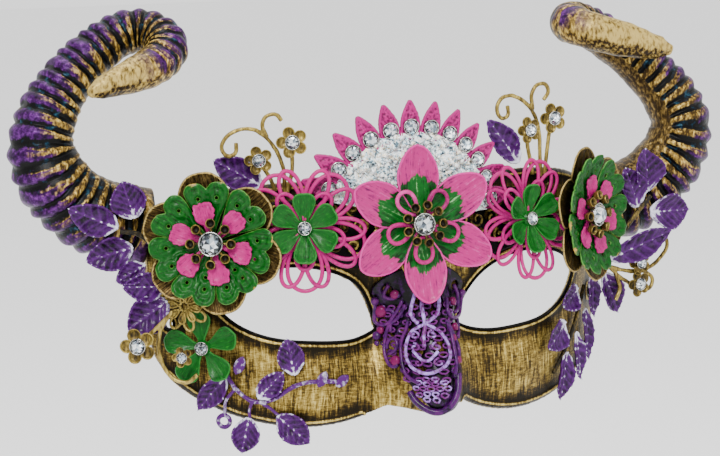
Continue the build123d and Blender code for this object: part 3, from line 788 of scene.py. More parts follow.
def add_stone(glass, metal, seat, radius):
    """A brilliant-cut stone in a thin cup with a rolled rim."""
    points = [(0, 0, STONE_RINGS[0][1] * radius)]
    for r, z, shift in STONE_RINGS:
        turns = (np.arange(STONE_SIDES) + shift) * 2 * pi / STONE_SIDES
        points += [(r * radius * cos(a), r * radius * sin(a), z * radius) for a in turns]
    top, mid, low = (1 + STONE_SIDES * i for i in range(3))
    faces = []
    for k in range(STONE_SIDES):
        m = (k + 1) % STONE_SIDES
        faces += [(0, top + k, top + m), (top + k, mid + k, top + m), (top + m, mid + k, low + m),
                  (top + m, low + m, mid + m), (mid + k, low + k, low + m), (top + k, low + k, mid + k)]
    # Each facet gets a random tone, which the glass paint turns into a painted reflection from dark to
    # white.
    for face in faces:
        corners = np.array([points[i] for i in face])
        glass.add(seat.world(corners), [(0, 1, 2)], tone=RANDOM.random() ** 0.8)
    rim = radius * BEZEL_R
    lathe(metal, seat, [(r * rim, z * radius) for r, z in BEZEL], 24, tone=0.5)


def stones(name):
    """Rebuilds every stone of a CAD node in its own place."""
    glass, metal = Piece(), Piece()
    for points, corners in islands(name):
        seat = seat_of(points, corners)
        add_stone(glass, metal, seat, reach_of(seat, points) / CAST_CUP_R)
    glass.build(name + "_glass", "stone", name, smooth=False)
    metal.build(name + "_bezels", "silver")


# ---- shell ---------------------------------------------------------------------------------------
SHELL_VOXEL = 0.62 * MM
LIP_R = 0.42 * MM
LINE_RISE = 0.6 * MM


def front_rims():
    """Rims of the shell's outer face, longest first, each an ordered (n, 3) array. Not all of them close."""
    points, corners = cad("mask_shell")
    area, cross, _ = facets(points, corners)
    normal = cross / area[:, None]
    owners = {}
    for index, face in enumerate(corners.tolist()):
        for k in range(3):
            pair = tuple(sorted((face[k], face[(k + 1) % 3])))
            owners.setdefault(pair, []).append(index)
    links = {}
    for (a, b), faces in owners.items():
        if len(faces) != 2:
            continue
        one, two = normal[faces[0]], normal[faces[1]]
        if one @ two < 0.6 and min(one[1], two[1]) < -0.05:
            links.setdefault(a, []).append(b)
            links.setdefault(b, []).append(a)
    loops, seen = [], set()
    for start in links:
        if start in seen or len(links[start]) != 2:
            continue
        loop, previous, here = [start], None, start
        seen.add(start)
        while True:
            ahead = [n for n in links[here] if n != previous and n not in seen]
            if not ahead:
                break
            previous, here = here, ahead[0]
            seen.add(here)
            loop.append(here)
        if len(loop) > 12:
            loops.append(points[loop])
    return sorted(loops, key=lambda loop: -len(loop))


def is_loop(rim):
    """Whether a rim's two ends meet."""
    return np.linalg.norm(rim[0] - rim[-1]) < 3 * MM


def build_shell():
    """The moulded skin with a raised line near its rims, and a thin black roll on each closed rim."""
    rims = front_rims()
    skin, faces = recast(*cad("mask_shell"), SHELL_VOXEL, 3)
    rim_points = np.concatenate([resample(rim, 0.4 * MM, is_loop(rim)) for rim in rims])
    tree = KDTree(len(rim_points))
    for index, point in enumerate(rim_points):
        tree.insert(point, index)
    tree.balance()
    edge = np.array([tree.find(p)[2] for p in skin]) / MM
    normals = normals_of(skin, faces)
    front = ((skin - HEAD) * normals).sum(1) > 0
    skin = skin + normals * (LINE_RISE * hill(edge - LINE_IN, 0.5) * front)[:, None]
    shell = Piece()
    shell.add(skin, faces, edge=edge)
    shell.build("shell_body", "shell", "mask_shell")
    lips = Piece()
    for rim in rims:
        if len(rim) >= 20 and is_loop(rim):
            tube(lips, rounded(resample(rim, 1.2 * MM, True), True, 2), LIP_R, 8, True, mark=0.2)
    lips.build("shell_lips", "black", slot="shell_gold")


# ---- horns ---------------------------------------------------------------------------------------
FEELERS = 20
FEEL_REACH = 1.35        # of the last radius: how far a feeler looks for the horn's skin
HORN_STEP = 0.9 * MM
RING_STEP = 0.36 * MM
HORN_SIDES = 88
RIB_PITCH = 0.20         # of the horn's radius
LEAST_PITCH = 2.9 * MM   # added to it
RIB_RISE = 1.9 * MM
RIBS_END = {"left": 0.86, "right": 0.79}    # share of the length where the ribs have faded out
SEAM_REACH = {"left": -0.78, "right": -0.50}  # how far out the smooth inner face goes, -1 is its middle
VIOLET_SHY = {"left": -0.1, "right": 0.05}    # how much more gold a horn carries
HIDDEN_FOOT = 6 * MM     # the horn runs on this far behind the flowers
TOE = 3 * MM             # and its tip this far past the last place that could be felt


def feel_tube(tree, start, heading, least, most):
    """Centres and radii of a closed tube, felt from a point inside it until the radius changes too fast."""
    line = []
    centre, heading = Vector(start), Vector(heading).normalized()
    for _ in range(400):
        side = heading.orthogonal().normalized()
        top = heading.cross(side)
        usual = line[-1][1] if line else 1.0
        hits = []
        for turn in around(FEELERS):
            direction = side * cos(turn) + top * sin(turn)
            hit = tree.ray_cast(centre, direction, usual * FEEL_REACH)[0]
            hits.append(hit if hit is not None else centre + direction * usual)
        hits = np.array(hits)
        middle = (hits.max(0) + hits.min(0)) / 4 + hits.mean(0) / 2
        radius = np.linalg.norm(hits - middle, axis=1).mean()
        if len(line) > 8 and not least < radius / np.median([r for _, r in line[-8:]]) < most:
            break
        if line:
            heading = (heading * 0.5 + Vector(middle - line[-1][0]).normalized() * 0.5).normalized()
        line.append((middle, radius))
        ahead = tree.ray_cast(Vector(middle), heading)[3]
        if ahead is None or ahead < 2.2 * HORN_STEP:
            break
        centre = Vector(middle) + heading * HORN_STEP
    return line


def horn_line(node):
    """Centre line from base to tip, and radius along it."""
    points, tree = feeler(node)
    outermost = points[np.argmax(np.abs(points[:, 0]))]
    inward = Vector((-np.sign(outermost[0]), 0, 0))
    far = tree.ray_cast(Vector(outermost) + inward * 0.5 * MM, inward)[0]
    start = (Vector(outermost) + far) / 2
    up = feel_tube(tree, start, (0, 0, 1), 0.4, 1.6)
    down = feel_tube(tree, start, (0, 0, -1), 0.93, 1.12)
    line = down[::-1] + up[1:]
    centres = np.array([middle for middle, _ in line])
    radii = np.array([radius for _, radius in line])
    foot = centres[0] + unit(centres[0] - centres[6]) * HIDDEN_FOOT
    toe = centres[-1] + unit(centres[-1] - centres[-5]) * TOE
    return np.vstack([foot, centres, toe]), np.concatenate([radii[:1], radii, radii[-1:] * 0.62])


def smoothed(values, reach):
    """Running mean over reach samples on each side, with the ends kept in place."""
    padded = np.concatenate([np.repeat(values[:1], reach, 0), values, np.repeat(values[-1:], reach, 0)])
    window = 2 * reach + 1
    total = np.cumsum(np.concatenate([np.zeros_like(padded[:1]), padded]), axis=0)
    out = (total[window:] - total[:-window]) / window
    blend = np.minimum(np.arange(len(values)), np.arange(len(values))[::-1]) / reach
    blend = np.clip(blend, 0, 1).reshape(-1, *([1] * (values.ndim - 1)))
    return out * blend + values * (1 - blend)


def horn_frame(side):
    """Even places along the horn: centre, radius, tangent, outward direction and share of the length."""
    centres, radii = horn_line("horn_" + side)
    centres, radii = smoothed(centres, 4), smoothed(radii, 8)
    length = along_path(centres)
    places = np.arange(0, length[-1], RING_STEP)
    line = smoothed(np.stack([np.interp(places, length, centres[:, k]) for k in range(3)], 1), 6)
    radius = np.interp(places, length, radii)
    tangent = units(np.gradient(line, axis=0))
    outward = units(line - line[: int(len(line) * 0.7)].mean(0))
    outward = smoothed(outward - tangent * (outward * tangent).sum(1)[:, None], 12)
    outward = units(outward - tangent * (outward * tangent).sum(1)[:, None])
    return line, radius, tangent, outward, places / length[-1]


def build_horn(side):
    """Rounded ribs wind round the horn, with narrow valleys between them, and fade out before the tip."""
    line, radius, tangent, outward, share = horn_frame(side)
    sideways = np.cross(tangent, outward)
    turns = np.cumsum(RING_STEP / (RIB_PITCH * radius + LEAST_PITCH))
    turns = turns + wobble(np.c_[turns * 0.9, np.zeros(len(turns))], 1.0, 0.25, 3.0)
    end = RIBS_END[side]
    outer, aside = np.cos(around(HORN_SIDES)), np.sin(around(HORN_SIDES))
    lumps = np.array([[noise.noise(Vector((t * 0.9, c * 1.6, s * 1.6))) for c, s in zip(outer, aside)]
                      for t in turns])
    place = (turns[:, None] + 0.16 * lumps) % 1.0 * 2 - 1
    ridge = np.clip(1 - np.abs(place) ** 1.6, 0, 1) ** 1.2
    seam = step(SEAM_REACH[side] - 0.17, SEAM_REACH[side], outer)
    radius, share = radius[:, None], share[:, None]
    fade = 1 - step(end - 0.08, end + 0.01, share)
    rise = RIB_RISE * np.clip(radius / radius.max(), 0.5, 1) * (0.1 + 0.9 * seam) * fade
    body = radius * 1.02 + rise * (ridge - 0.55) + lumps * 0.4 * MM
    body = body * (1 - 0.22 * step(end - 0.02, end + 0.08, share) * aside ** 2)
    direction = outward[:, None] * outer[:, None] + sideways[:, None] * aside[:, None]
    points = line[:, None] + direction * body[:, :, None]
    faces = turned_over(ring_faces(len(line), HORN_SIDES))
    flank = hill(place - 0.52, 0.22)
    values = {
        "mark": ridge * fade * seam + 0.9 * (1 - fade * seam),
        "along": step(end - 0.02, end + 0.05, share),
        "tone": 1 - seam,
        "across": outer - VIOLET_SHY[side] - 0.75 * flank - 0.55 * step(end - 0.16, end - 0.04, share),
        # edge holds how far the skin faces down, for the painted shade under the tip
        "edge": -direction[:, :, 2],
    }
    horn = Piece()
    horn.add(points.reshape(-1, 3), faces,
             **{name: np.broadcast_to(value, body.shape).reshape(-1) for name, value in values.items()})
    add_dome(horn, line[-1], tangent[-1], points[-1], radius[-1, 0] * 0.6, mark=0.9, along=1.0)
    add_dome(horn, line[0], -tangent[0], points[0], 0.2 * MM, mark=0.2, along=0.0)
    horn.build("horn_%s_ribbed" % side, "horn", "horn_" + side)


def add_dome(piece, centre, out, rim, height, **values):
    """Closes a tube's end with a low dome over its last ring."""
    steps, count = 6, len(rim)
    rings = [centre + (rim - centre) * cos(a) + out * height * sin(a)
             for a in np.arange(steps) / steps * pi / 2]
    points = np.concatenate(rings + [(centre + out * height)[None]])
    last = (steps - 1) * count
    faces = turned_over(ring_faces(steps, count))
    faces += [(last + k, len(points) - 1, last + (k + 1) % count) for k in range(count)]
    piece.add(points, faces, **values)


# ---- flowers -------------------------------------------------------------------------------------
SHEET_T = 0.6 * MM


def arms_of(seat, points, count):
    """Angles of a finding's equal arms."""
    return spin_of(seat, points, count) + around(count)


def fit(profile, reach):
    """Scales a (v, half width) profile, in mm, so that its tip is at reach, in metres."""
    scale = reach / MM / max(v for v, _ in profile)
    return [(v * scale, w * scale) for v, w in profile]


BACK_PETAL = [(2, 1.2), (6, 4.6), (12, 7.6), (17, 8.9), (21.5, 7.2), (24.4, 3.8), (25, 0)]
HEART_PETAL = [(2.4, 0.9), (7, 2.8), (11, 5.0), (15, 7.1), (18, 7.8), (20.3, 6.5), (21, 4.2), (20.7, 2.0),
               (19.4, 0.5), (18.8, 0)]
HEART_HOLES = [(-3.4, 16.4), (3.4, 16.4), (-2.2, 12.4)]
LOBE = [(2, 1.0), (5.5, 1.1), (7.0, 2.1), (9.0, 3.2), (11.4, 3.5), (13.2, 2.5), (13.6, 0.9), (13.8, 0)]
CENTRE_PETAL = [(2, 1.2), (6, 3.8), (11, 6.6), (16, 7.7), (20.5, 7.0), (24.6, 4.9), (27, 2.5), (28, 0)]
ROUND_PETAL = [(1.5, 0.8), (4, 1.8), (7, 3.3), (9.5, 3.9), (11.3, 3.1), (12, 1.4), (12, 0)]
SQUARE_PETAL = [(1.5, 0.7), (4, 1.5), (6.5, 2.9), (9, 4.0), (11, 4.1), (12.4, 2.9), (13.3, 1.0), (13.6, 0)]


def build_back_flower(side):
    """Six broad plain petals of antiqued metal behind the big flower."""
    name = "back_flower_" + side
    seat, points, reach = node_seat(name)
    sheet = cut_sheet(mirrored(fit(BACK_PETAL, reach)), spacing=0.8 * MM)

    def relief(u, v, edge):
        ribs = 0.20 * MM * np.sin(u / (0.62 * MM)) * step(0, 2 * MM, edge)
        return SHEET_T + 0.45 * MM * hill(edge, 0.6 * MM) + ribs - 0.9 * MM * hill(u, 6 * MM)

    flower = Piece()
    angles, bowl = arms_of(seat, points, 6), bowl_of(seat, points, SHEET_T)
    add_arms(flower, seat, sheet, angles, relief, bowl, 0.5 * MM, 3)
    flower.build(name + "_petals", "back", name, thickness=SHEET_T)


def build_heart_flower(side):
    """Seven notched green petals with raised lobes, a middle groove and three small holes each."""
    name = "heart_flower_" + side
    seat, points, reach = node_seat(name)
    scale = reach / 21
    holes = [circle(u * scale, v * scale, 0.6 * MM, 18) for u, v in HEART_HOLES]
    sheet = cut_sheet(mirrored(fit(HEART_PETAL, reach * 1.06)), holes, spacing=0.5 * MM)

    def relief(u, v, edge):
        lobe = 0.9 * MM * hill(edge - 1.3 * MM, 0.9 * MM)
        groove = 0.5 * MM * (hill(u, 0.35 * MM) - hill(u, 1.2 * MM))
        hammer = 0.12 * MM * np.sin(v / (0.55 * MM)) * np.sin(u / (0.5 * MM))
        return SHEET_T + lobe + groove + hammer

    flower = Piece()
    angles, bowl = arms_of(seat, points, 7), bowl_of(seat, points, SHEET_T)
    add_arms(flower, seat, sheet, angles, relief, bowl, 0.45 * MM, 11)
    flower.build(name + "_petals", "green", name, thickness=SHEET_T)


def ragged(profile, teeth, depth, seed):
    """A mirrored outline with an uneven edge."""
    rim = resample(mirrored(profile), 0.35 * MM, True)
    return rim + units(rim - rim.mean(0)) * wobble(rim, teeth, depth, seed)[:, None]


def build_lobed_flower(side):
    """Six ragged pink lobes on short arms, cupped, one layer above the green petals."""
    name = "lobed_flower_" + side
    seat, points, reach = node_seat(name)
    profile = fit(LOBE, reach * 1.02)
    bowl = bowl_of(seat, points, SHEET_T)

    def relief(u, v, edge):
        cup = 0.9 * MM * hill(edge, 1.1 * MM) * step(6 * MM, 8 * MM, v)
        return SHEET_T + cup + 0.5 * MM * hill(v - 9.5 * MM, 2 * MM)

    flower = Piece()
    for k, angle in enumerate(arms_of(seat, points, 6)):
        sheet = cut_sheet(ragged(profile, 900, 0.75 * MM, k + 1.0), spacing=0.5 * MM)
        add_arms(flower, seat, sheet, [angle], relief, bowl, seed=20 + k)
    flower.build(name + "_lobes", "pink", name, thickness=SHEET_T)


CUP = [(0, 0), (0.62, 0.05), (0.86, 0.5), (0.98, 1.2), (1.0, 1.5), (0.92, 1.58), (0.80, 1.45), (0.68, 0.8),
       (0.45, 0.45), (0, 0.4)]
# Darker inside each cup: painted shade.
CUP_SHADE = [0, 0, 0, 0, 0, 0, 0.05, 0.2, 0.35, 0.3]


def build_cups(node, count, radius, ring, lift):
    """Small open cups in a ring round the stone, each on a stalk and leaning a little outwards."""
    seat, points, _ = node_seat(node)
    cups = Piece()
    profile = [(r * radius, z * radius) for r, z in CUP]
    for angle in arms_of(seat, points, count):
        spot = seat.world((ring * cos(angle), ring * sin(angle), lift))
        lean = unit(seat.axes[2] + 0.25 * (seat.axes[0] * cos(angle) + seat.axes[1] * sin(angle)))
        lathe(cups, Seat(spot, lean), profile, 18, CUP_SHADE, edge=1.0)
        stalk = [seat.world((ring * 0.2 * cos(angle), ring * 0.2 * sin(angle), lift)), spot]
        tube(cups, resample(stalk, 1 * MM, False), 0.45 * MM, 6, edge=1.0)
    hub = [(0, 0), (ring * 0.5, 0), (ring * 0.55, 0.6 * MM), (0, 0.7 * MM)]
    lathe(cups, seat, hub, 20, edge=2.0, tone=0.2)
    cups.build(node + "_ring", "cast_gold", node)


def loop_path(seat, angle, start, reach, width, lift, steps=36):
    """A long closed wire loop that leaves the middle at an angle and is widest near its end."""
    turn = around(steps)
    share = (1 - np.cos(turn)) / 2
    across = width / 2 * np.sin(turn) * (0.55 + 0.5175 * share)
    u, v = turned(np.stack([start + (reach - start) * share, across], 1), angle)
    return seat.world(np.stack([u, v, lift + 0.5 * MM * np.sin(turn * 0.5)], 1))


ROSETTE_LOOPS = [  # (length and width as shares of the reach, turn in radians, height in mm)
    (1.0, 0.66, 0, 0.7), (0.97, 0.40, 0.30, 1.2), (0.97, 0.40, -0.30, 1.0), (0.66, 0.34, 0, 1.5),
]


def build_rosette(side):
    """Pink wire rosette: five arms of four loops that cross each other."""
    name = "loop_filigree_" + side
    seat, points, reach = node_seat(name)
    wire = Piece()
    for angle in arms_of(seat, points, 5):
        for size, width, turn, height in ROSETTE_LOOPS:
            path = loop_path(seat, angle + turn, 1.5 * MM, reach * size, reach * width, height * MM)
            tube(wire, path, 0.74 * MM, 8, True, seat.axes[2], 0.7, edge=2.0, along=0.5,
                 tone=RANDOM.random())
    wire.build(name + "_wire", "pink", name)


def build_petal_flower(node, count, profile, paint, groove, seed):
    """Stamped petals with a raised rim, a dished middle and fine veins."""
    seat, points, reach = node_seat(node)
    sheet = cut_sheet(mirrored(fit(profile, reach)), spacing=0.5 * MM)

    def relief(u, v, edge):
        veins = 0.10 * MM * np.sin(u / (0.42 * MM)) * step(0, 2 * MM, edge)
        return SHEET_T + 0.45 * MM * hill(edge, 0.7 * MM) - groove * hill(u, 1.6 * MM) + veins

    flower = Piece()
    angles = arms_of(seat, points, count)
    add_arms(flower, seat, sheet, angles, relief, bowl_of(seat, points, SHEET_T), 0.4 * MM, seed)
    lathe(flower, seat, [(0, 0), (2.8 * MM, 0), (2.9 * MM, 1.2 * MM), (0, 1.3 * MM)], 20, edge=3.0, tone=0.4)
    flower.build(node + "_petals", paint, node, thickness=SHEET_T)


def build_centre():
    """The middle flower, from its petals up to the ring of cups round its stone."""
    build_petal_flower("center_petal_flower", 6, CENTRE_PETAL, "petal", 0.6 * MM, 31)
    seat, points, reach = node_seat("center_loop_flower")
    loops = Piece()
    for angle in arms_of(seat, points, 5):
        path = loop_path(seat, angle, 4.5 * MM, reach * 1.28, reach * 0.72, 1.6 * MM)
        tube(loops, path, 0.75 * MM, 8, True, seat.axes[2], 0.8, edge=2.0, tone=RANDOM.random(), along=0.5)
    loops.build("center_loops", "pink", "center_loop_flower")
    seat, points, reach = node_seat("center_filigree")
    lace = Piece()
    for angle in arms_of(seat, points, 12):
        path = loop_path(seat, angle, 3 * MM, reach, 8.5 * MM, 0.8 * MM, 28)
        tube(lace, path, 0.55 * MM, 6, True, seat.axes[2], edge=0.3)
    lace.build("center_lace", "cast_gold", "center_filigree")
    build_cups("center_bead_cups", 9, 1.7 * MM, 6.2 * MM, 0.6 * MM)


def build_temple_lace():
    """Feathery gold lace in front of the left temple: eight long loops with a short one between each two."""
    seat, points, reach = node_seat("temple_filigree_left")
    lace = Piece()
    for angle in arms_of(seat, points, 8):
        path = loop_path(seat, angle, reach / 6, reach, reach * 0.47, 0.8 * MM, 24)
        tube(lace, path, 0.5 * MM, 6, True, seat.axes[2], edge=0.4)
        inner = loop_path(seat, angle + pi / 8, reach / 4, reach * 0.7, reach * 0.3, 1.4 * MM, 20)
        tube(lace, inner, 0.4 * MM, 6, True, seat.axes[2], edge=0.4)
    lace.build("temple_lace_left", "cast_gold", "temple_filigree_left")


# ---- fan -----------------------------------------------------------------------------------------
FAN_T = 0.9 * MM
RAY_TIP = 9.2            # mm from the ring of stones to the end of a ray, before it is fitted
RAY = [(-4.2, 2.6), (-3.4, 3.2), (0, 3.4), (3, 3.0), (5.5, 2.1), (7.8, 0.9), (RAY_TIP, 0)]
FAN_FOOT = 9.0 * MM      # radius of the fan's cut-out foot
FAN_HOLES = [(0.60, 0.0), (0.50, 0.5)]       # (share of the stones' ring, turn in rays)
GLITTER_COUNT = 900


def circle_fit(points):
    """Centre and radius of the circle through flat points."""
    system = np.c_[2 * points, np.ones(len(points))]
    solved = np.linalg.lstsq(system, (points ** 2).sum(1), rcond=None)[0]
    return solved[:2], np.sqrt(solved[2] + (solved[:2] ** 2).sum())


class Fan:
    """The fan's own frame: the centre and angles of its rays, the ring of its stones, and its bend."""

    def __init__(self):
        self.seat, points, _ = node_seat("fan_plate")
        spots = np.array([solid[0].mean(0) for solid in islands("fan_rhinestones")])
        local = self.seat.local(spots)[:, :2]
        self.centre, self.ring = circle_fit(local)
        from_centre = local - self.centre
        self.angles = sorted(np.arctan2(from_centre[:, 1], from_centre[:, 0]).tolist())
        self.pitch = (self.angles[-1] - self.angles[0]) / (len(self.angles) - 1)
        flat = self.seat.local(points)
        self.tip = np.hypot(flat[:, 0] - self.centre[0], flat[:, 1] - self.centre[1]).max()
        system = np.c_[flat[:, 0] ** 2, flat[:, 0], np.ones(len(flat))]
        self.bend = np.linalg.lstsq(system, flat[:, 2], rcond=None)[0]

    def surface(self, u, v, lift):
        """World points over the bent plate."""
        height = self.bend[0] * u ** 2 + self.bend[1] * u + self.bend[2] + lift
        return self.seat.world(np.stack([u, v, height], -1))


def build_fan():
    """Twelve rays of white glitter that end in pink points, bent round the brow."""
    fan = Fan()
    points = Piece()
    scale = (fan.tip - fan.ring) / (RAY_TIP * MM)
    uv, corners, edge = cut_sheet(mirrored([(v * scale, w) for v, w in RAY]), spacing=0.42 * MM)
    for angle in fan.angles:
        x, y = turned(uv + (0, fan.ring), angle - pi / 2)
        x, y = x + fan.centre[0], y + fan.centre[1]
        grain = wobble(np.c_[x, y], 1100, 0.7 * MM) * step(0.3 * MM, 1.0 * MM, edge)
        height = 0.6 * MM * hill(edge, 0.5 * MM) + grain + 0.5 * MM
        points.add(fan.surface(x, y, height), corners, edge=edge / MM, tone=RANDOM.random(),
                   along=uv[:, 1] / (10 * MM), across=uv[:, 0] / (10 * MM),
                   mark=np.clip(-grain / (0.22 * MM), 0, 0.7))
    points.build("fan_points", "fan_pink", thickness=FAN_T)
    uv, corners, edge = fan_sheet(fan)
    body = Piece()
    clump = wobble(uv, 700, 0.7 * MM)
    body.add(fan.surface(uv[:, 0], uv[:, 1], clump + 0.9 * MM), corners, edge=edge / MM, tone=0.55)
    scatter_glitter(body, fan)
    body.build("fan_body", "white", "fan_plate", thickness=FAN_T)


def fan_sheet(fan):
    """The fan's body as a cut sheet: scalloped between the rays, and pierced with two rows of holes."""
    first, last = fan.angles[0], fan.angles[-1]
    turns = np.linspace(first - fan.pitch * 0.55, last + fan.pitch * 0.55, 90)
    foot = [(FAN_FOOT * cos(a), FAN_FOOT * sin(a)) for a in turns[::-4]]
    reach = fan.ring - 1.6 * MM - 1.2 * MM * np.abs(np.cos((turns - first) / fan.pitch * pi))
    top = np.stack([reach * np.cos(turns), reach * np.sin(turns)], 1)
    outline = np.concatenate([top, foot]) + fan.centre
    holes = []
    for angle in fan.angles:
        for share, shift in FAN_HOLES:
            a = angle + shift * fan.pitch
            if a < last + 0.1:
                x, y = fan.centre + fan.ring * share * np.array([cos(a), sin(a)])
                holes.append(circle(x, y, 0.9 * MM, 12))
    return cut_sheet(outline, holes, spacing=0.8 * MM)


def scatter_glitter(body, fan):
    """Coarse glitter: small tilted chips over the fan's body."""
    a = RANDOM.uniform(fan.angles[0] - 0.1, fan.angles[-1] + 0.1, GLITTER_COUNT)
    r = (fan.ring - 2.6 * MM) * np.sqrt(RANDOM.uniform(0.20, 1.0, GLITTER_COUNT))
    size = RANDOM.uniform(0.6, 1.5, GLITTER_COUNT) * MM
    middles = fan.surface(fan.centre[0] + r * np.cos(a), fan.centre[1] + r * np.sin(a), 1.0 * MM)
    for middle, length in zip(middles, size):
        arms = units(RANDOM.normal(size=(3, 3))) * length
        corners = np.concatenate([middle + arms, [middle - arms.sum(0) * 0.6]])
        body.add(corners, [(0, 1, 2), (0, 3, 1), (1, 3, 2), (2, 3, 0)], tone=RANDOM.random(), edge=3.0)


# ---- leaves, stems and sprays ------------------------------------------------------------------------
LEAF_SWELL = 1.22        # of the cast blade's width, which its painted edge spreads
LEAF = [(0, 0.10), (0.08, 0.22), (0.22, 0.38), (0.42, 0.5), (0.62, 0.46), (0.80, 0.30), (0.92, 0.13), (1, 0)]
PETAL_CUP = [(0, 0.10), (0.5, 0.12), (0.8, 0.42), (0.94, 0.60), (1, 0.5), (0.92, 0.2), (0.6, -0.12),
             (0, -0.2)]
# Darker in the cup's middle and on its underside: painted shade.
PETAL_SHADE = [0.16, 0.12, 0.04, 0, 0, 0.1, 0.2, 0.3]


def leaf_outline(length, width):
    """A leaf with fine teeth from its foot to near its tip."""
    rim = rounded([(w * width * LEAF_SWELL, v * length) for v, w in LEAF], steps=10)
    place = np.arange(len(rim))
    share = place / len(rim)
    teeth = 0.018 * width * np.abs(np.sin(place * pi / 5))
    rim[:, 0] += teeth * step(0, 0.15, share) * step(1.0, 0.9, share)
    return both_sides(rim)


def add_leaf(piece, seat, foot, tip, width, seed):
    """A finely toothed, veined leaf from foot to tip, cupped along its middle."""
    length = np.linalg.norm(tip - foot)
    along = (tip - foot) / length
    blade = Seat(foot, seat.axes[2] - along * (seat.axes[2] @ along), along)
    uv, corners, edge = cut_sheet(leaf_outline(length, width), spacing=0.5 * MM)
    u, v = uv[:, 0], uv[:, 1]
    vein = hill(u, 0.35 * MM)
    side_veins = np.maximum(np.cos((v - np.abs(u) * 0.9) / (length / 6) * 2 * pi), 0) ** 2
    curl = 0.015 * length * np.sin(v / length * pi * 0.9)
    cup = 0.7 * width * (u / width) ** 2
    height = 0.5 * MM * vein + 0.30 * MM * side_veins + cup + curl
    height = height + 0.4 * MM * hill(edge, 0.5 * MM) + wobble(uv, 300, 0.7 * MM, seed)
    mark = np.clip(0.18 + 0.34 * vein + 0.26 * side_veins + 0.24 * hill(edge, 0.4 * MM), 0, 1)
    tone = 0.42 * step(0.42, 0.0, v / length) * RANDOM.uniform(0.4, 1.2) + 0.08 * RANDOM.random()
    piece.add(blade.world(np.stack([u, v, height], 1)), corners, edge=edge / MM, along=v / length,
              across=u / width, mark=mark, tone=tone)


def plates_and_wires(node, least):
    """A node's flat solids, with more than this share of their faces along one axis, and the rest."""
    plates, wires = [], []
    for solid in islands(node):
        (plates if flatness(*solid)[0] > least else wires).append(solid)
    return plates, wires


def add_cast(piece, solid, voxel, grain, depth, **values):
    """A solid softened and roughened as a casting is."""
    skin, faces = recast(*solid, voxel, 2)
    piece.add(skin + wobble(skin, grain, depth)[:, None], faces, **values)


def leaf_ends(seat, points, anchor):
    """Foot, tip and width of a flat leaf. Its foot is the end nearer to the anchor."""
    flat = seat.local(points)[:, :2]
    flat = flat - flat.mean(0)
    spread = np.linalg.svd(flat, full_matrices=False)[2][0]
    place = flat @ spread
    ends = [points[place < place.min() + 0.3 * MM].mean(0), points[place > place.max() - 0.3 * MM].mean(0)]
    gaps = [np.linalg.norm(anchor - end, axis=1).min() for end in ends]
    foot, tip = ends if gaps[0] < gaps[1] else ends[::-1]
    return foot, tip, np.ptp(flat @ np.array([-spread[1], spread[0]]))


def build_sprig(node, stem_paint="cast_gold"):
    """Leaves of a sprig, with their cast stem if it has one."""
    leaves, stems = Piece(), Piece()
    plates, wires = plates_and_wires(node, 0.72)
    for wire in wires:
        add_cast(stems, wire, 0.28 * MM, 500, 0.12 * MM, edge=0.6, mark=0.3, tone=0.3)
    anchor = np.concatenate([points for points, _ in wires]) if wires else np.zeros((1, 3))
    for index, plate in enumerate(plates):
        seat = seat_of(*plate)
        add_leaf(leaves, seat, *leaf_ends(seat, plate[0], anchor), index + 2.0)
    leaves.build(node + "_blades", "violet", node, thickness=0.55 * MM)
    if wires:
        stems.build(node + "_stem", stem_paint)


def build_spray(node):
    """Gold wire scrolls with small five-petal flowers."""
    wires, flowers = Piece(), Piece()
    flats, scrolls = plates_and_wires(node, 0.62)
    for solid in scrolls:
        add_cast(wires, solid, 0.26 * MM, 420, 0.16 * MM, edge=0.5)
    for points, corners in flats:
        seat = seat_of(points, corners)
        reach = reach_of(seat, points)
        profile = [(r * reach * 0.43, z * reach * 0.43) for r, z in PETAL_CUP]
        for angle in arms_of(seat, points, 5):
            petal = seat.moved(reach * 0.68 * cos(angle), reach * 0.68 * sin(angle), 0.4 * MM)
            lathe(flowers, petal, profile, 18, PETAL_SHADE, edge=0.45)
    wires.build(node + "_wire", "cast_gold", node)
    flowers.build(node + "_flowers", "cast_gold")


# ---- lace on the shell ---------------------------------------------------------------------------
def on_shell(tree, x, z, lift):
    """Point over the shell's outer face at front-view place (x, z), and the face's normal."""
    hit = tree.ray_cast(Vector((x, -0.2, z)), Vector((0, 1, 0)))
    if hit[0] is None:
        return None
    out = np.array(hit[1])
    out = out if out[1] < 0 else -out
    return np.array(hit[0]) + out * lift, out


def laid_tube(piece, tree, path, lift, radius, closed=False, **values):
    """A wire laid on the shell along an (x, z) path in mm."""
    path = resample(np.asarray(path, float) * MM, 0.6 * MM, closed)
    found = [on_shell(tree, x, z, lift) for x, z in path]
    found = [f for f in found if f is not None]
    if len(found) < 5:
        return
    points = np.array([p for p, _ in found])
    points = smoothed(points, 2) if len(points) > 6 else points
    up = np.array([normal for _, normal in found])
    tube(piece, points, radius, 8, closed and len(found) == len(path), up, **values)


def scroll(x, z, start, end, first, turn):
    """Points of a flat spiral whose radius shrinks as it winds."""
    share = np.linspace(0, 1, 26)
    radius = start + (end - start) * share
    angle = np.radians(first + turn * share)
    return np.stack([x + radius * np.cos(angle), z + radius * np.sin(angle)], 1)


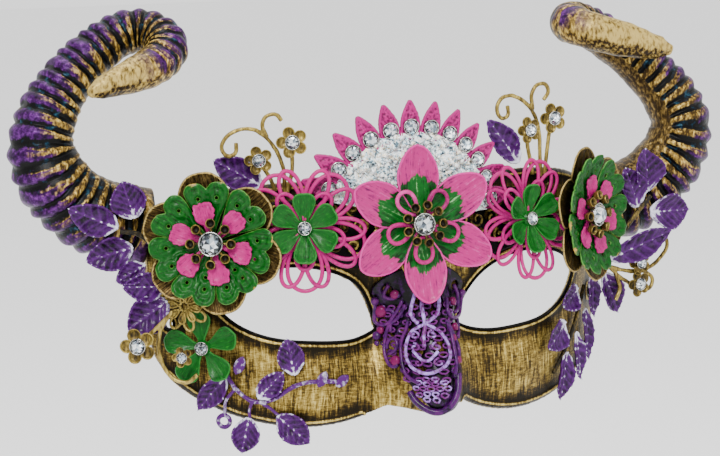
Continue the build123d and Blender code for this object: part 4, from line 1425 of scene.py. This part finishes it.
NOSE_BARS = [
    [(-3.5, 4), (-4.5, 0.5), (-5.5, -4.5), (-4, -7.5)],
    [(-2, 4), (-2.5, 0), (-2.5, -4), (-2.5, -8)],
    [(1.5, 4), (1.5, 0.5), (0.5, -4.5), (-2.3, -7.5)],
]
MEDALLION = [(-2.5, -8), (-5.5, -9.8), (-7, -13), (-8, -17), (-8, -20), (-7, -22.5), (-4, -24), (-1, -22.5),
             (1, -20), (1.5, -17), (1, -13), (-0.3, -10)]
LACE_SCROLLS = [  # (x, z) points along each raised violet line, in mm
    [(-6, -5.5), (-7, -9.5), (-8.7, -14), (-9.3, -19), (-9.3, -23.5), (-8, -26), (-6, -27)],
    [(2.5, -7), (3.2, -11.5), (3, -17), (3, -21.5), (1.5, -25.5)],
    [(-6.5, -1), (-8.5, -5.5), (-11, -8.5), (-12.5, -13.5), (-13.5, -18), (-13, -21.5), (-12, -23),
     (-10.5, -21.8)],
    [(-12.6, -17), (-12, -14.5), (-10.2, -12.5), (-9.6, -15), (-11, -17.8), (-12.6, -18.6)],
    [(-7.2, 0.5), (-8.6, -3), (-10.4, -6.5), (-10.6, -10.5)],
    [(-17, 1.5), (-16, -3), (-15.5, -7), (-13.5, -8.5), (-11.5, -8), (-9.5, -5), (-10, -2.5), (-12, -2.5)],
    [(14.5, 1.5), (13.5, -2.5), (11.5, -6.5), (7, -7), (4, -5.5), (4, -2.5), (4.5, 0.5)],
    [(9.5, 5), (11.5, 1), (10.5, -4.5), (8, -5)], [(-12, 7), (-13.5, 3.5), (-10.5, 1.5), (-8, 3)],
    [(2.5, -7), (4, -11.5), (5, -14.5), (5.5, -17.5), (4.5, -20)], [(9, -7.5), (8.6, -11), (6.8, -13.5)],
]
LACE_DISCS = [  # (x, z, radius) of magenta buttons, in mm
    (-13.2, -3, 2.1), (-11, -20.5, 1.8), (-13.5, -10.3, 1.3), (8, -1, 1.5), (6.5, -9.8, 1.4),
    (4.2, -13, 1.2), (4.5, -20.3, 1.3), (-9.5, 3, 1.6),
]
LACE_BALLS = [(-17, 1.5, 1.4), (-15, -12.7, 1.5), (-15.5, -15.5, 0.9), (14.3, 2, 1.3)]
BUTTON = [(0, -1.0), (1.0, -1.0), (1.05, -0.2), (0.95, 0.25), (0.6, 0.42), (0, 0.5)]
ROSETTE_AT = (-3.7, -28.7)
NET_SIDES = [(-26, -9, 2), (-20, -13, 3), (-8, -14, 5), (0, -15, 12)]    # (z, least x, most x) in mm
LACE_BAND = [(-8.5, -30), (-7, -33), (-3, -35.2), (0.2, -33.8), (2.4, -29.5), (3.2, -24.5)]


def add_button(piece, tree, x, z, radius, lift, **values):
    """A low domed disc on the shell."""
    spot, out = on_shell(tree, x * MM, z * MM, lift)
    profile = [(r * radius * MM, h * radius * MM) for r, h in BUTTON]
    lathe(piece, Seat(spot, out), profile, 16, **values)


def add_net(piece, tree):
    """Small violet rings that fill the spaces between the scrolls."""
    heights, lefts, rights = zip(*NET_SIDES)
    for row, z in enumerate(np.arange(heights[0], heights[-1] + 1, 2.7)):
        low, high = np.interp(z, heights, lefts), np.interp(z, heights, rights)
        for x in np.arange(low + 1.4 * (row % 2), high, 2.9):
            laid_tube(piece, tree, ellipse(x, z, 1.15, 1.0, 10), 2.9 * MM, 0.38 * MM, True,
                      mark=0.22 + 0.3 * RANDOM.random(), tone=0.1 * RANDOM.random())


def build_nose_lace(tree):
    """Purple scrollwork down the nose: bars, an arched medallion, side scrolls and a rosette at the foot."""
    skin, faces = recast(*cad("nose_filigree"), 0.34 * MM, 2)
    lace = Piece()
    # The base plate stays near black: painted shade in the gaps between the raised scrolls.
    lace.add(skin, faces, mark=0.06, tone=0.0)
    add_net(lace, tree)
    for bar in NOSE_BARS:
        laid_tube(lace, tree, rounded(bar), 3.5 * MM, 0.72 * MM, mark=0.62, tone=0.1)
    laid_tube(lace, tree, rounded(MEDALLION, True), 3.6 * MM, 0.62 * MM, True, mark=0.60, tone=0.12)
    laid_tube(lace, tree, [(-2.5, -8), (-3.3, -12), (-3.7, -15.5)], 3.9 * MM, 0.75 * MM, mark=0.6, tone=0.05)
    laid_tube(lace, tree, rounded([(-6.3, -16.5), (-4, -20.3), (-1, -17)]), 3.7 * MM, 0.6 * MM, mark=0.72)
    for side in (-1, 1):
        for height, reach in ((-11.5, 2.0), (-15.5, 2.4), (-20.5, 2.3)):
            curl = scroll(-3.4 + side * reach, height, 1.5, 0.5, 90, side * 400)
            laid_tube(lace, tree, curl, 3.6 * MM, 0.42 * MM, mark=0.6, tone=0.1 * RANDOM.random())
    for path in LACE_SCROLLS:
        laid_tube(lace, tree, rounded(path), 3.4 * MM, 0.70 * MM, mark=0.26 + 0.1 * RANDOM.random())
    for x, z, radius in LACE_DISCS:
        add_button(lace, tree, x, z, radius, 3.6 * MM, across=0.9, mark=0.3)
    for x, z, radius in LACE_BALLS:
        add_button(lace, tree, x, z, radius, 3.8 * MM, mark=0.2, tone=0.1)
    laid_tube(lace, tree, rounded(LACE_BAND), 3.2 * MM, 1.25 * MM, mark=0.22)
    for ring, count, radius in ((0.0, 1, 1.0), (1.8, 6, 0.9), (3.3, 10, 0.9)):
        for angle in around(count):
            x, z = ROSETTE_AT[0] + ring * cos(angle), ROSETTE_AT[1] + ring * sin(angle)
            laid_tube(lace, tree, circle(x, z, radius, 12), 3.7 * MM - 0.1 * MM * ring, 0.36 * MM, True,
                      mark=0.55 + 0.2 * RANDOM.random())
    lace.build("nose_lace", "nose", "nose_filigree")


def build_brow_lace(tree):
    """Black lace with gold on its raised threads, behind the flowers."""
    skin, faces = recast(*cad("brow_filigree"), 0.42 * MM, 2)
    lace = Piece()
    lace.add(skin, faces, mark=0.15)
    for row, z in enumerate((21, 27.5, 34)):
        for k in range(-9, 10):
            x = 6.2 * (k + 0.5 * (row % 2))
            first = 360 * RANDOM.random()
            laid_tube(lace, tree, scroll(x, z, 2.9, 0.9, first, 400 if k % 2 else -400), 3.1 * MM, 0.42 * MM,
                      mark=0.5 + 0.3 * RANDOM.random())
    lace.build("brow_lace", "black", "brow_filigree")


# ---- the whole mask --------------------------------------------------------------------------------
build_shell()
for side in ("left", "right"):
    build_horn(side)
    build_back_flower(side)
    build_heart_flower(side)
    build_lobed_flower(side)
    build_cups("bead_cups_" + side, 8, 1.75 * MM, 6.7 * MM, 0.5 * MM)
    stones("big_rhinestone_" + side)
    build_rosette(side)
    build_petal_flower("small_flower_" + side, 6, ROUND_PETAL, "leaf_green", 0.5 * MM, 41)
    build_spray("brow_spray_" + side)
    build_spray("side_spray_" + side)
    build_sprig("brow_leaf_" + side)
    build_sprig("horn_leaves_" + side)
build_centre()
build_petal_flower("cheek_flower_left", 5, SQUARE_PETAL, "leaf_green", 0.5 * MM, 51)
build_temple_lace()
build_fan()
for group in ("center_rhinestone", "small_rhinestones", "cheek_flower_rhinestone", "spray_rhinestones",
              "fan_rhinestones"):
    stones(group)
build_sprig("side_leaves_right")
build_sprig("cheek_leaves_right")
build_sprig("cheek_vine_left", stem_paint="violet")
_, shell_tree = feeler("mask_shell")
build_nose_lace(shell_tree)
build_brow_lace(shell_tree)


# ---- floor, light and camera -------------------------------------------------------------------------
VIEW_AZIMUTH = radians(-22.0)
VIEW_ELEVATION = radians(8.0)
VIEW_ROLL = radians(0.8)
VIEW_DISTANCE = 1.1
VIEW_LENS = 152.8
AIM_LEFT = 19.8 * MM       # the picture's middle is this far left of the nose bridge
AIM_UP = 34.9 * MM         # and this far above it
BRIDGE = Vector((0, 6.0, -10.0)) * MM
FLOOR_HALF = 6.0           # m from the floor's middle to its sides
FLOOR_DROP = 0.25          # m from the mask's lowest point down to the floor
WORLD_STRENGTH = 1.5
LIGHTS = {                 # where each stands and how wide it is, in metres, and its power in watts
    "key": ((-0.7, -1.1, 1.0), 0.5, 40),
    "fill": ((1.0, -1.0, 0.3), 0.9, 8),
    "top": ((0.0, 0.3, 1.3), 0.8, 16),
}


def build_floor():
    floor = bpy.data.meshes.new("floor")
    z = CAD_BOUNDS[0][2] - FLOOR_DROP
    signs = ((-1, -1), (1, -1), (1, 1), (-1, 1))
    floor.from_pydata([(x * FLOOR_HALF, y * FLOOR_HALF, z) for x, y in signs], [], [(0, 1, 2, 3)])
    paint = Paint("floor_white", roughness=0.9)
    floor.materials.append(paint.finish((0.92, 0.92, 0.92, 1.0)))
    shape = placed("floor", floor)


def build_lights():
    """Area lights that face the mask, and an even white world."""
    world = bpy.data.worlds.new("studio")
    bpy.context.scene.world = world
    world.use_nodes = True
    background = world.node_tree.nodes["Background"]
    background.inputs["Color"].default_value = (1, 1, 1, 1)
    background.inputs["Strength"].default_value = WORLD_STRENGTH
    for name, (place, size, power) in LIGHTS.items():
        data = bpy.data.lights.new(name, "AREA")
        data.size = size
        data.energy = power
        lamp = placed(name, data)
        lamp.location = place
        lamp.rotation_euler = (Vector(place) * -1).to_track_quat("-Z", "Y").to_euler()


def build_camera():
    """The camera at the photo's angle, aimed beside the nose bridge."""
    a, e = VIEW_AZIMUTH, VIEW_ELEVATION
    back = Vector((sin(a) * cos(e), -cos(a) * cos(e), sin(e)))
    level = Vector((cos(a), sin(a), 0))
    upright = back.cross(level)
    right = level * cos(VIEW_ROLL) - upright * sin(VIEW_ROLL)
    up = level * sin(VIEW_ROLL) + upright * cos(VIEW_ROLL)
    data = bpy.data.cameras.new("camera")
    data.lens = VIEW_LENS
    data.clip_start = 0.05
    camera = placed("camera", data)
    turn = Matrix((right, up, back)).transposed().to_4x4()
    place = BRIDGE + back * VIEW_DISTANCE - right * AIM_LEFT + up * AIM_UP
    camera.matrix_world = Matrix.Translation(place) @ turn
    bpy.context.scene.camera = camera


build_floor()
build_lights()
build_camera()
